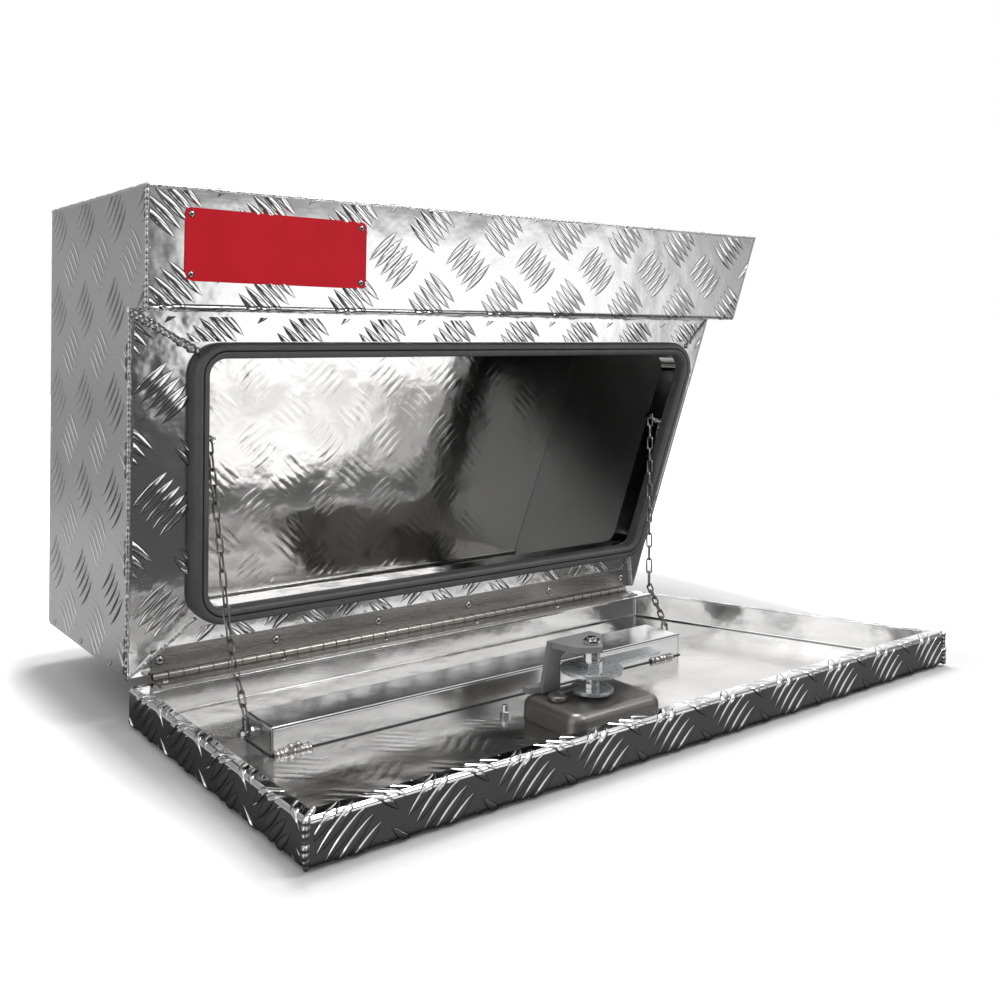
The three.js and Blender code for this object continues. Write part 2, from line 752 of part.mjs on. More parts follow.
// Levels of a pressed or bent shell: a straight wall with a rounded lower edge, upper edge or both.
function shellLevels(bottom, top, inset, lowerRound, upperRound) {
  const levels = [];
  if (lowerRound) {
    for (let step = 0; step <= bendSteps; step += 1) {
      const angle = Math.PI / 2 * step / bendSteps;
      levels.push([inset + lowerRound * (1 - Math.sin(angle)), bottom + lowerRound * (1 - Math.cos(angle))]);
    }
  } else {
    levels.push([inset, bottom]);
  }
  if (upperRound) {
    for (let step = 0; step <= bendSteps; step += 1) {
      const angle = Math.PI / 2 * step / bendSteps;
      levels.push([inset + upperRound * (1 - Math.cos(angle)), top - upperRound * (1 - Math.sin(angle))]);
    }
  } else {
    levels.push([inset, top]);
  }
  return levels;
}

function rectangle(centreX, centreY, length, width) {
  return [
    [centreX - length / 2, centreY - width / 2], [centreX + length / 2, centreY - width / 2],
    [centreX + length / 2, centreY + width / 2], [centreX - length / 2, centreY + width / 2],
  ];
}

function dishOutline(inset) {
  return roundedOutline(rectangle(lockAlong, lockY, dishLength, dishWidth), dishCornerRadius, -inset);
}

const studPlaces = [[-1, 1], [1, 1], [1, -1], [-1, -1]].map(([sideX, sideY]) => (
  { x: lockAlong + sideX * dishStudAlong, y: lockY + sideY * dishStudAcross }));

function addDoorPan(group) {
  const outside = stacked(shellLevels(panBottom, panRim, 0, bendRadius, bendRadius), panOutline);
  const inside = stacked(shellLevels(panFloor, panRim - sheet, sheet, bendRadius - sheet, bendRadius - sheet),
    panOutline);
  const mouthFront = panFront + frontFlange;
  const mouthRear = panRear - rearFlange;
  const mouth = [
    [panSideInset + sideFlange, mouthFront], [panRightEdge(mouthFront) - sideFlange, mouthFront],
    [panRightEdge(mouthRear) - sideFlange, mouthRear], [panSideInset + sideFlange, mouthRear],
  ];
  const holes = [
    inside,
    prism('z', roundedOutline(mouth, flangeCornerRadius, 0, bendSteps / 2), panRim - sheet - cutOverrun,
      panRim + cutOverrun),
    prism('z', dishOutline(-seamGap), panBottom - cutOverrun, panFloor + cutOverrun),
    ...studPlaces.map(({ x, y }) => cylinder(
      studRadius + holeGap, panBottom - cutOverrun, panFloor + cutOverrun, smallSides, x, y)),
    ...doorRivetHoles(),
  ];
  addPiece(group, 'door_pan', 'treadPlate', cutAll(outside, holes));
}

function addDoorHinge(group) {
  const leafTop = panRim + leafThickness;
  const tongueEnd = hingeY - hingeForward;
  const leaf = block(
    leafStart, leafStart + leafLength, hingeY - doorLeafReach, tongueEnd + holeGap, panRim, leafTop);
  const tongue = (from, to) => block(from, to, tongueEnd, hingeY, panRim, leafTop);
  addPiece(group, 'door_hinge_leaf', 'hingeSteel',
    cutAll(leaf.add(knuckles(1, tongue)), [pinBore(), ...doorRivetHoles()]));
  hingeRivetPlaces.forEach((x, index) => addPiece(group, `door_hinge_rivet_${index + 1}`, 'chromeSteel',
    rivet(new THREE.Vector3(x, -doorRivetSetback, leafTop), upward, leafThickness + sheet, hingeRivetSizes)));
}

function addStiffener(group) {
  const outline = (inset) => roundedOutline(
    rectangle(channelLeft + channelLength / 2, (channelRear - channelFront) / 2, channelLength, channelWidth),
    channelBend, -inset, bendSteps / 2);
  const outside = stacked(shellLevels(panFloor, channelTop, 0, 0, channelBend), outline);
  const inside = stacked(shellLevels(panFloor - cutOverrun, channelTop - sheet, sheet, 0, 0), outline);
  addPiece(group, 'stiffener_channel', 'channelSheet',
    cutAll(outside, [inside, boltHole(leftScrew), boltHole(rightScrew)]));
}

function addLockDish(group) {
  const outside = stacked(shellLevels(dishUnder, dishTop, 0, 0, dishRound), dishOutline);
  const inside = stacked(
    shellLevels(dishUnder - cutOverrun, dishTop - dishSheet, dishSheet, 0, dishRound - dishSheet),
    dishOutline);
  const flange = prism('z', roundedOutline(
    rectangle(lockAlong, lockY, dishFlangeLength, dishFlangeWidth), dishFlangeRadius), dishUnder, panBottom);
  const bore = cylinder(spindleRadius + holeGap, dishTop - dishSheet - cutOverrun, dishTop + cutOverrun,
    roundSides, lockAlong, lockY);
  addPiece(group, 'lock_dish', 'castGrey', cutAll(outside.add(flange), [inside, bore]));
  studPlaces.forEach(({ x, y }, index) => addPiece(group, `dish_stud_${index + 1}`, 'chromeSteel',
    cylinder(studRadius, panBottom, panBottom + sheet + studRise, smallSides, x, y)
      .add(cylinder(studNutRadius, panFloor, panFloor + studNutHeight, 6, x, y))));
  const leverX = lockAlong - leverFromAxis;
  const leverY = lockY + leverToFront;
  const leverOutline = [
    [leverX - leverReach / 2, dishTop], [leverX + leverReach / 2, dishTop],
    [leverX + leverReach / 2, dishTop + leverHeight * leverHookShare],
    [leverX, dishTop + leverHeight], [leverX - leverReach / 2, dishTop + leverHeight],
  ];
  addPiece(group, 'detent_lever', 'castGrey',
    prism('y', leverOutline, leverY - leverWidth / 2, leverY + leverWidth / 2));
}

// What turns with the spindle
function ringPlate(outer, fromZ, toZ, sides) {
  return cylinder(outer, fromZ, toZ, sides, lockAlong, lockY)
    .subtract(cylinder(
      spindleRadius + holeGap, fromZ - cutOverrun, toZ + cutOverrun, roundSides, lockAlong, lockY));
}

function addHandle(group) {
  const under = dishUnder + handleInset;
  const hubTop = under + handleHubHeight;
  const bar = prism('z', roundedOutline(rectangle(lockAlong, lockY, handleLength, handleWidth),
    handleWidth * handleEndShare), under, under + handleThickness);
  const hub = cylinder(handleHubRadius, under, hubTop, roundSides, lockAlong, lockY);
  const keyWell = cylinder(keyRadius + holeGap, under - cutOverrun, under + keyDepth + seamGap, roundSides,
    lockAlong, lockY);
  addPiece(group, 't_handle', 'chromeSteel', bar.add(hub).subtract(keyWell));
  const slot = block(lockAlong - keySlotLength / 2, lockAlong + keySlotLength / 2, lockY - keySlotWidth / 2,
    lockY + keySlotWidth / 2, under - cutOverrun, under + keySlotDepth);
  addPiece(group, 'key_barrel', 'hingeSteel',
    cylinder(keyRadius, under, under + keyDepth, roundSides, lockAlong, lockY).subtract(slot));
  addPiece(group, 'spindle', 'chromeSteel',
    cylinder(spindleRadius, hubTop, spindleTop, roundSides, lockAlong, lockY));
}

function addLatch(group) {
  const stopTop = stopBottom + stopThickness;
  const latchTop = latchBottom + latchThickness;
  const latchNutTop = latchTop + latchNutHeight;
  addPiece(group, 'stop_plate', 'chromeSteel', ringPlate(stopRadius, stopBottom, stopTop, roundSides));
  addPiece(group, 'latch_spacer', 'chromeSteel', ringPlate(spacerRadius, stopTop, latchBottom, smallSides));
  const tongueOutline = [
    [lockAlong, lockY + latchTongueShift - latchTongueWidth / 2],
    [lockAlong + latchReach, lockY + latchTongueTipShift - latchTongueEnd / 2],
    [lockAlong + latchReach, lockY + latchTongueTipShift + latchTongueEnd / 2],
    [lockAlong, lockY + latchTongueShift + latchTongueWidth / 2],
  ];
  const holes = Array.from({ length: latchHoleCount }, (unused, index) => {
    const angle = 2 * Math.PI * index / latchHoleCount;
    return cylinder(latchHoleRadius, latchBottom - cutOverrun, latchTop + cutOverrun, 6,
      lockAlong + latchHoleRing * Math.cos(angle), lockY + latchHoleRing * Math.sin(angle));
  });
  const bore = cylinder(spindleRadius + holeGap, latchBottom - cutOverrun, latchTop + cutOverrun, roundSides,
    lockAlong, lockY);
  addPiece(group, 'latch_plate', 'chromeSteel', cutAll(
    cylinder(latchRadius, latchBottom, latchTop, 2 * roundSides, lockAlong, lockY)
      .add(prism('z', tongueOutline, latchBottom, latchTop)), [bore, ...holes]));
  addPiece(group, 'latch_nut', 'chromeSteel', ringPlate(latchNutRadius, latchTop, latchNutTop, 6));
  addPiece(group, 'cam_sleeve', 'chromeSteel', ringPlate(sleeveRadius, latchNutTop, camBottom, smallSides));
}

function addOffsetCam(group) {
  const camTop = camBottom + camThickness;
  const arm = prism('z', camOutlineShares.map(([across, back]) => (
    [lockAlong + camReach * across, lockY + camReach * back])), camBottom, camTop);
  const legFront = lockY + camLegSetback;
  const legFoot = dishTop + camFootGap;
  const legLeft = lockAlong - camLegWidth;
  const legRight = lockAlong - camLegClear - Math.sqrt(latchRadius ** 2 - camLegSetback ** 2);
  const leg = prism('y', [
    [legLeft - camLegLean, legFoot], [legRight, legFoot],
    [legRight, latchBottom + latchThickness + latchNutHeight],
    [lockAlong, camBottom], [lockAlong, camTop], [lockAlong - camReach * camLegTopShare, camTop],
  ], legFront, legFront + camLegThickness);
  const footRear = legFront + camLegThickness + camFootDepth;
  const foot = prism('z', [
    [lockAlong - camFootReach, footRear - camFootDepth], [legLeft, legFront], [legRight, legFront],
    [legRight, legFront + camLegThickness], [legLeft, footRear], [lockAlong - camFootReach, footRear],
  ], legFoot, legFoot + camFootHeight);
  const bore = cylinder(spindleRadius + holeGap, camBottom - cutOverrun, camTop + cutOverrun, roundSides,
    lockAlong, lockY);
  addPiece(group, 'offset_cam', 'castGrey', arm.add(leg).add(foot).subtract(bore));
  addPiece(group, 'cam_nut', 'chromeSteel', ringPlate(camNutRadius, camTop, camTop + camNutHeight, 6));
}

function addChains(group) {
  addPiece(group, 'chain_bolt_left', 'chromeSteel', chainBolt(leftBolt));
  addPiece(group, 'chain_bolt_right', 'chromeSteel', chainBolt(rightBolt));
  addPiece(group, 'chain_screw_left', 'chromeSteel', chainBolt(leftScrew));
  addPiece(group, 'chain_screw_right', 'chromeSteel', chainBolt(rightScrew));
  const aside = new THREE.Vector3(tipOffset, 0, 0);
  for (const [side, bolt, screw, junction] of [
    ['left', leftBolt, leftScrew, leftJunction], ['right', rightBolt, rightScrew, rightJunction],
  ]) {
    addPiece(group, `chain_${side}_upper`, 'zincChain', chainRun(bolt, junction.clone().add(aside)));
    addPiece(group, `chain_${side}_lower`, 'zincChain', chainRun(screw, junction.clone().sub(aside)));
  }
}

// The origin is the middle of the top face, by which the box hangs under a tray.
const toolBox = new THREE.Group();
toolBox.name = 'tool_box';
toolBox.position.set(-topLength / 2, (hoodDepth - bodyDepth) / 2, -height);
addCabinet(toolBox);
addFrame(toolBox);
addSeal(toolBox);
addCabinetHinge(toolBox);
addBadge(toolBox);
addDoorPan(toolBox);
addDoorHinge(toolBox);
addStiffener(toolBox);
addLockDish(toolBox);
addHandle(toolBox);
addLatch(toolBox);
addOffsetCam(toolBox);
addChains(toolBox);

export default toolBox;
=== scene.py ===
# Aluminium tool box, shown with its door down. Sizes below are in millimetres from the box's left, front, bottom
# corner, and mm() turns them into the frame's metres.
import json
import math
import random

import bpy
from mathutils import Matrix, Vector


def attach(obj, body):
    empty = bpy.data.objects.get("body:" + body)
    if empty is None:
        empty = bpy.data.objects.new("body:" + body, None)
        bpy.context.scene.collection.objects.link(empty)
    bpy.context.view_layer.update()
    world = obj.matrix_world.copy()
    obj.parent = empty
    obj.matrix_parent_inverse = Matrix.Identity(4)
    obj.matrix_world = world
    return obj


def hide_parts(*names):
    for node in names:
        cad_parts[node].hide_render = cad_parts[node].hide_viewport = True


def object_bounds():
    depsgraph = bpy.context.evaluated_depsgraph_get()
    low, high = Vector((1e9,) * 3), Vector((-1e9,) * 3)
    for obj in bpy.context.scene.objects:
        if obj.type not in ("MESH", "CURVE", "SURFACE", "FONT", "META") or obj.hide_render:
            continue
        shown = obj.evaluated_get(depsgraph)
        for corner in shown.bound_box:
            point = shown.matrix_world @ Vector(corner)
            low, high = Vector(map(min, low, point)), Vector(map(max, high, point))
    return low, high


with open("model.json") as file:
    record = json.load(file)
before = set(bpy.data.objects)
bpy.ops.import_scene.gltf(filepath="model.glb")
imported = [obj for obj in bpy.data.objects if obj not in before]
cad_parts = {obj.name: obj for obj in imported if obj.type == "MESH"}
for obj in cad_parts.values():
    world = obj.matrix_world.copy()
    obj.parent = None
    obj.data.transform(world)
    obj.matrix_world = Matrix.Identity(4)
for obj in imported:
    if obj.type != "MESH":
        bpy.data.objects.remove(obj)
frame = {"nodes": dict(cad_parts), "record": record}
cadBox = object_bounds()
nodes = frame["nodes"]
bodyOfNode = {node: body for body, members in frame["record"]["behaviour"]["bodies"].items() for node in members}

box = {"length": 750, "height": 400, "depth": 211.7, "hood": 38.3, "hoodBottom": 301.7, "taper": 0.4126,
       "sheet": 2, "originX": 375, "originY": 86.7, "originZ": 400}
opening = {"left": 67.5, "bottom": 48, "top": 260.4, "rightMargin": 32, "round": 15, "seal": 14, "treadGap": 0.5}
pan = {"side": 1, "rear": -3, "front": -301, "rim": -4.5, "bottom": -35, "bend": 4, "floor": -33,
       "sideFlange": 10, "frontFlange": 12, "edgeStart": 405, "endMargin": 6, "rimMargin": 1}


def mm(x, y, z):
    return Vector((x - box["originX"], y - box["originY"], z - box["originZ"])) / 1000


def rightEdge(z):
    return box["length"] - box["taper"] * (box["height"] - z)


def panRightEdge(y):
    return box["length"] - box["taper"] * (pan["edgeStart"] + y) - pan["side"]


# Camera
lens = {"place": (-311.16, -868.33, 283.62), "yaw": 0.6328, "pitch": 0.006, "roll": 0.0064, "focal": 1085.35,
        "centreX": 450.15, "centreY": 326.41, "image": 1000, "sensor": 36}


def makeCamera():
    yaw, pitch, roll = lens["yaw"], lens["pitch"], lens["roll"]
    ahead = Vector((math.sin(yaw) * math.cos(pitch), math.cos(yaw) * math.cos(pitch), math.sin(pitch)))
    level = Vector((math.cos(yaw), -math.sin(yaw), 0))
    raised = level.cross(ahead)
    right = math.cos(roll) * level + math.sin(roll) * raised
    up = math.cos(roll) * raised - math.sin(roll) * level
    bpy.ops.object.camera_add()
    camera = bpy.context.object
    camera.matrix_world = Matrix.Translation(mm(*lens["place"])) @ Matrix((right, up, -ahead)).transposed().to_4x4()
    camera.data.sensor_width = lens["sensor"]
    camera.data.lens = lens["focal"] / lens["image"] * lens["sensor"]
    camera.data.shift_x = 0.5 - lens["centreX"] / lens["image"]
    camera.data.shift_y = lens["centreY"] / lens["image"] - 0.5
    camera.data.clip_start = 0.01
    bpy.context.scene.camera = camera


makeCamera()
print("camera placed")


# Shader maths: a signal is an output socket that can be added, subtracted and multiplied.
class Signal:
    def __init__(self, finish, socket):
        self.finish = finish
        self.socket = socket

    def __add__(self, other):
        return self.finish.operate("ADD", self, other)

    def __sub__(self, other):
        return self.finish.operate("SUBTRACT", self, other)

    def __rsub__(self, other):
        return self.finish.operate("SUBTRACT", other, self)

    def __mul__(self, other):
        return self.finish.operate("MULTIPLY", self, other)

    __radd__ = __add__


class Finish:
    def __init__(self, name, metallic, roughness):
        self.material = bpy.data.materials.new(name)
        self.material.use_nodes = True
        self.tree = self.material.node_tree
        self.shader = self.tree.nodes["Principled BSDF"]
        self.shader.inputs["Metallic"].default_value = metallic
        self.shader.inputs["Roughness"].default_value = roughness
        self.place = self.node("TexCoord", {}, {}, "Object")

    def node(self, kind, settings, sockets, output=0):
        made = self.tree.nodes.new("ShaderNode" + kind)
        for name, value in settings.items():
            setattr(made, name, value)
        for name, value in sockets.items():
            self.feed(made.inputs[name], value)
        return Signal(self, made.outputs[output])

    def operate(self, operation, first, second):
        return self.node("Math", {"operation": operation}, {0: first, 1: second})

    def feed(self, socket, value):
        if isinstance(value, Signal):
            self.tree.links.new(value.socket, socket)
        else:
            socket.default_value = value

    def mix(self, share, first, second):
        return self.node("Mix", {"data_type": "RGBA"}, {0: share, 6: first, 7: second}, 2)

    # From 0 at one value to 1 at another
    def span(self, value, zero, one, shape="LINEAR"):
        return self.node("MapRange", {"interpolation_type": shape},
                         {"Value": value, "From Min": zero, "From Max": one})

    def ray(self, kind):
        return self.node("LightPath", {}, {}, f"Is {kind} Ray")

    def axes(self, vector):
        split = self.node("SeparateXYZ", {}, {0: vector}).socket.node
        return [Signal(self, split.outputs[axis]) for axis in "XYZ"]

    def noise(self, scale, detail, stretch=(1, 1, 1)):
        spread = self.node("Mapping", {}, {"Vector": self.place, "Scale": stretch})
        return self.node("TexNoise", {}, {"Vector": spread, "Scale": scale, "Detail": detail})

    def blend(self, share, dark, light):
        self.feed(self.shader.inputs["Base Color"], self.mix(share, dark, light))

    def rough(self, signal):
        self.feed(self.shader.inputs["Roughness"], signal)

    def bump(self, height, distance):
        bumped = self.node("Bump", {}, {"Height": height, "Distance": distance, "Strength": 1.0})
        self.feed(self.shader.inputs["Normal"], bumped)


def grey(level, warmth=0.0):
    return (level * (1 + warmth), level, level * (1 - warmth), 1)


# Sheet aluminium: each kind has its tone, its gloss and how far that varies, and the depth of its dents in metres.
# The floor of the door pan is duller than its walls.
sheetFinishes = {
    "endSheet": {"dark": grey(0.48), "light": grey(0.66), "rough": 0.32, "spread": 0.10, "dents": 0.0005},
    "hoodSheet": {"dark": grey(0.78), "light": grey(0.92), "rough": 0.13, "spread": 0.10, "dents": 0.0010},
    "frameSheet": {"dark": grey(0.72), "light": grey(0.90), "rough": 0.10, "spread": 0.08, "dents": 0.0014},
    "panSheet": {"dark": grey(0.66), "light": grey(0.90), "rough": 0.12, "spread": 0.10, "dents": 0.0016,
                 "floorDark": grey(0.36, 0.02), "floorLight": grey(0.96, 0.01), "floorRough": 0.19,
                 "floorTop": -32.5, "floorEdge": 0.0006},
    "channelSheet": {"dark": grey(0.62), "light": grey(0.88), "rough": 0.20, "spread": 0.16, "dents": 0.0008},
    "insideSheet": {"dark": grey(0.72, 0.02), "light": grey(0.90, 0.01), "rough": 0.10, "spread": 0.10,
                    "dents": 0.0013},
}
# What every sheet shares: cloudy tones, scratches along the rolling direction, wide and fine dents
sheetGrain = {"clouds": 9, "scratches": 900, "along": (0.06, 1, 1), "scratchGloss": 0.06, "scratchDepth": 0.004,
              "dents": 14, "fineDents": 46, "fineShare": 0.2}


def sheetMetal(name, values):
    finish = Finish(name, 1.0, values["rough"])
    cloud = finish.noise(sheetGrain["clouds"], 4)
    grain = finish.noise(sheetGrain["scratches"], 2, sheetGrain["along"])
    dark, light, rough = values["dark"], values["light"], values["rough"]
    if "floorTop" in values:
        height = finish.axes(finish.place)[2]
        top = mm(0, 0, values["floorTop"]).z
        wall = finish.span(height, top, top + values["floorEdge"])
        dark = finish.mix(wall, values["floorDark"], dark)
        light = finish.mix(wall, values["floorLight"], light)
        rough = wall * (rough - values["floorRough"]) + values["floorRough"]
    finish.blend(cloud, dark, light)
    finish.rough(rough + (cloud - 0.5) * values["spread"] + (grain - 0.5) * sheetGrain["scratchGloss"])
    dents = finish.noise(sheetGrain["dents"], 2) + finish.noise(sheetGrain["fineDents"], 2) * sheetGrain["fineShare"]
    finish.bump(dents + grain * sheetGrain["scratchDepth"], values["dents"])
    return finish.material


# Small metal parts: tone, gloss, fineness of the grain and its depth in metres
plainFinishes = {
    "hingeSteel": {"dark": grey(0.27, 0.05), "light": grey(0.38, 0.04), "rough": 0.27, "grain": 500, "depth": 0.00003,
                   "along": (0.03, 1, 1)},
    "chrome": {"dark": grey(0.62), "light": grey(0.84), "rough": 0.12, "grain": 300, "depth": 0.00002},
    "zincPlate": {"dark": (0.50, 0.53, 0.55, 1), "light": (0.78, 0.81, 0.82, 1), "rough": 0.27, "grain": 120,
                  "depth": 0.00004, "metallic": 0.7},
    "chainZinc": {"dark": grey(0.14, 0.03), "light": grey(0.32, 0.03), "rough": 0.24, "grain": 400,
                  "depth": 0.00005},
    "castGrey": {"dark": grey(0.15, 0.05), "light": grey(0.26, 0.05), "rough": 0.34, "grain": 700, "depth": 0.00006,
                 "metallic": 0.8},
    "castPale": {"dark": grey(0.24), "light": grey(0.36), "rough": 0.42, "grain": 500, "depth": 0.00008,
                 "metallic": 0.35},
    "weldMetal": {"dark": grey(0.54), "light": grey(0.84), "rough": 0.30, "grain": 600, "depth": 0.00008},
    # Near black: painted shade, laid round the feet of tread bars and along the channel
    "rootLine": {"dark": grey(0.05), "light": grey(0.16), "rough": 0.45, "grain": 300, "depth": 0.00002},
    # Near black: painted shade, for the plugs in rivet eyes, the rings under rivet heads and the hinge pin
    "darkSteel": {"dark": grey(0.03), "light": grey(0.10), "rough": 0.45, "grain": 900, "depth": 0.00002},
}
plainSpread = 0.12


def plainMetal(name, values):
    finish = Finish(name, values.get("metallic", 1.0), values["rough"])
    speck = finish.noise(values["grain"], 4, values.get("along", (1, 1, 1)))
    finish.blend(speck, values["dark"], values["light"])
    finish.rough(values["rough"] + (speck - 0.5) * plainSpread)
    finish.bump(speck, values["depth"])
    return finish.material


# Rubber and paint: tone and gloss vary in clouds, with a fine grain over them. "shine" is the highlights' strength.
coatFinishes = {
    "sealRubber": {"dark": grey(0.06), "light": grey(0.12), "rough": 0.34, "spread": 0.2, "clouds": 60, "grain": 2500,
                   "depth": 0.00005, "shine": 0.5},
    "badgeRed": {"dark": (0.48, 0.005, 0.013, 1), "light": (0.66, 0.010, 0.024, 1), "rough": 0.28, "spread": 0.15,
                 "clouds": 30, "grain": 1600, "depth": 0.00003, "shine": 0.2},
}


def coating(name, values):
    finish = Finish(name, 0.0, values["rough"])
    finish.feed(finish.shader.inputs["Specular IOR Level"], values["shine"])
    cloud = finish.noise(values["clouds"], 4)
    grain = finish.noise(values["grain"], 2)
    finish.blend(cloud, values["dark"], values["light"])
    finish.rough(values["rough"] + cloud * values["spread"])
    finish.bump(grain, values["depth"])
    return finish.material


makers = ((sheetMetal, sheetFinishes), (plainMetal, plainFinishes), (coating, coatFinishes))
finishes = {name: make(name, values) for make, kinds in makers for name, values in kinds.items()}
print("finishes made")


# Small helpers for modelling by operators
def only(*objects):
    if bpy.context.object and bpy.context.object.mode != "OBJECT":
        bpy.ops.object.mode_set(mode="OBJECT")
    bpy.ops.object.select_all(action="DESELECT")
    for item in objects:
        item.select_set(True)
    bpy.context.view_layer.objects.active = objects[0]


def modify(piece, kind, **settings):
    only(piece)
    modifier = piece.modifiers.new(kind.title(), kind)
    for name, value in settings.items():
        setattr(modifier, name, value)
    bpy.ops.object.modifier_apply(modifier=modifier.name)
    return piece


def eased(piece, width, segments, angle):
    return modify(piece, "BEVEL", width=width, segments=segments, limit_method="ANGLE",
                  angle_limit=math.radians(angle))


def repeated(piece, count, step):
    return modify(piece, "ARRAY", count=count, use_relative_offset=False, use_constant_offset=True,
                  constant_offset_displace=step)


# Runs operators in edit mode, each on the whole of a piece
def edited(piece, *steps):
    only(piece)
    bpy.ops.object.mode_set(mode="EDIT")
    for operator, settings in steps:
        bpy.ops.mesh.select_all(action="SELECT")
        operator(**settings)
    bpy.ops.object.mode_set(mode="OBJECT")
    return piece


# A step for edited() that cuts away what lies under a level
def above(level):
    return bpy.ops.mesh.bisect, {"plane_co": (0, 0, level), "plane_no": (0, 0, 1), "clear_inner": True,
                                 "use_fill": True}


def outwardFaces(piece):
    return edited(piece, (bpy.ops.mesh.normals_make_consistent, {"inside": False}))


def joined(pieces, name):
    only(*pieces)
    if len(pieces) > 1:
        bpy.ops.object.join()
    piece = bpy.context.object
    piece.name = piece.data.name = name
    return piece


def block(low, high):
    middle = (Vector(low) + Vector(high)) / 2
    size = (Vector(high) - Vector(low)) / 1000
    bpy.ops.mesh.primitive_cube_add(size=1)
    made = bpy.context.object
    made.data.transform(Matrix.Translation(mm(*middle)) @ Matrix.Diagonal((*size, 1)))
    return made


def copyOf(piece, matrix=None):
    twin = bpy.data.objects.new(piece.name, piece.data.copy())
    bpy.context.scene.collection.objects.link(twin)
    if matrix is not None:
        twin.data.transform(matrix)
    return twin


def remove(piece):
    bpy.data.objects.remove(piece)


def finished(piece, name, finish, body, angle=35, replaced=()):
    only(piece)
    bpy.ops.object.shade_smooth_by_angle(angle=math.radians(angle))
    piece.name = piece.data.name = name
    piece.data.materials.clear()
    piece.data.materials.append(finishes[finish])
    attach(piece, body)
    if replaced:
        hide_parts(*replaced)
    return piece


# A CAD node's copy with its corners eased, so that edges catch the light. Lengths here are in metres.
dress = {"ease": 0.0003, "angle": 40, "merge": 0.000005, "flatAngle": 0.5}


def dressed(node, name, finish):
    piece = bpy.data.objects.new(name, nodes[node].data.copy())
    bpy.context.scene.collection.objects.link(piece)
    edited(piece, (bpy.ops.mesh.remove_doubles, {"threshold": dress["merge"]}),
           (bpy.ops.mesh.dissolve_limited, {"angle_limit": math.radians(dress["flatAngle"])}))
    modify(piece, "BEVEL", width=dress["ease"], segments=2, limit_method="ANGLE",
           angle_limit=math.radians(dress["angle"]), use_clamp_overlap=True)
    finished(piece, name, finish, bodyOfNode[node], dress["angle"], (node,))
    modify(piece, "WEIGHTED_NORMAL", keep_sharp=True)


dressing = {
    "endSheet": {"left_end_plate": "leftEndPlate", "right_end_plate": "rightEndPlate"},
    "hoodSheet": {"top_plate": "topPlate", "hood_front": "hoodFront"},
    "frameSheet": {"frame_bottom": "frameBottom", "frame_right": "frameRight", "frame_top": "frameTop",
                   "frame_left": "frameLeft"},
    "insideSheet": {"back_plate": "backPlate", "bottom_plate": "bottomPlate"},
    "panSheet": {"door_pan": "doorPan"},
    "channelSheet": {"stiffener_channel": "channel"},
    "hingeSteel": {"key_barrel": "keyBarrel"},
    "badgeRed": {"badge_plate": "badgePlate"},
    "castGrey": {"lock_dish": "lockDish"},
    "castPale": {"offset_cam": "offsetCam"},
    "zincPlate": {"latch_plate": "latchPlate", "stop_plate": "stopPlate"},
    "chrome": {"t_handle": "tHandle", "spindle": "spindle", "latch_spacer": "latchSpacer",
               "latch_nut": "latchNut", "cam_sleeve": "camSleeve", "cam_nut": "camNut",
               "chain_bolt_left": "leftChainBolt", "chain_bolt_right": "rightChainBolt",
               "chain_screw_left": "leftChainScrew", "chain_screw_right": "rightChainScrew",
               **{f"dish_stud_{number}": f"dishStud{number}" for number in range(1, 5)}},
}
for finishName, members in dressing.items():
    for nodeName, pieceName in members.items():
        dressed(nodeName, pieceName, finishName)
print("sheets and lock parts dressed")


# Tread plate: lens-shaped bars in groups of five, the groups leaning one way and the other. A thin near-black
# line is laid round each bar's foot as painted shade. Inside, the bars show as low imprints. "spare" is how many
# groups stand past the edges, and "merge" is in metres.
tread = {"length": 40, "width": 6.2, "rise": 1.5, "sunk": 0.12, "steep": 0.75, "spacing": 8.6, "bars": 5, "lean": 43,
         "lineMargin": 1.5, "shadeLineRise": 0.14, "shadeLineSunk": 0.03, "pressedRise": 0.05, "panPressedRise": 0.09,
         "pressedSunk": 0.01, "rimShare": 0.4, "spare": 3, "merge": 0.000001, "bendCuts": 4, "smooth": 40}
pitches = {"sheet": (85, 71), "ends": (78, 80), "walls": (72, 62), "leftStrip": (70, 92), "sill": (72, 71)}
barShape = (0.0, tread["rise"], tread["sunk"])
shadeLineShape = (tread["lineMargin"], tread["shadeLineRise"], tread["shadeLineSunk"])
pressedShape = (tread["lineMargin"], tread["pressedRise"], tread["pressedSunk"])
panPressedShape = (tread["lineMargin"], tread["panPressedRise"], tread["pressedSunk"])


def treadBar(margin, rise, sunk):
    bpy.ops.mesh.primitive_uv_sphere_add(segments=8, ring_count=6, radius=1)
    bar = bpy.context.object
    edited(bar, (bpy.ops.transform.rotate, {"value": math.pi / 2, "orient_axis": "Y", "center_override": (0, 0, 0)}),
           above(-sunk))
    for vertex in bar.data.vertices:
        along = math.asin(max(-1, min(1, vertex.co.x))) / (math.pi / 2)
        aside = math.copysign(abs(vertex.co.y) ** tread["steep"], vertex.co.y)
        vertex.co = (along * (tread["length"] + margin) / 2000, aside * (tread["width"] + margin) / 2000,
                     vertex.co.z * rise / 1000)
    return bar


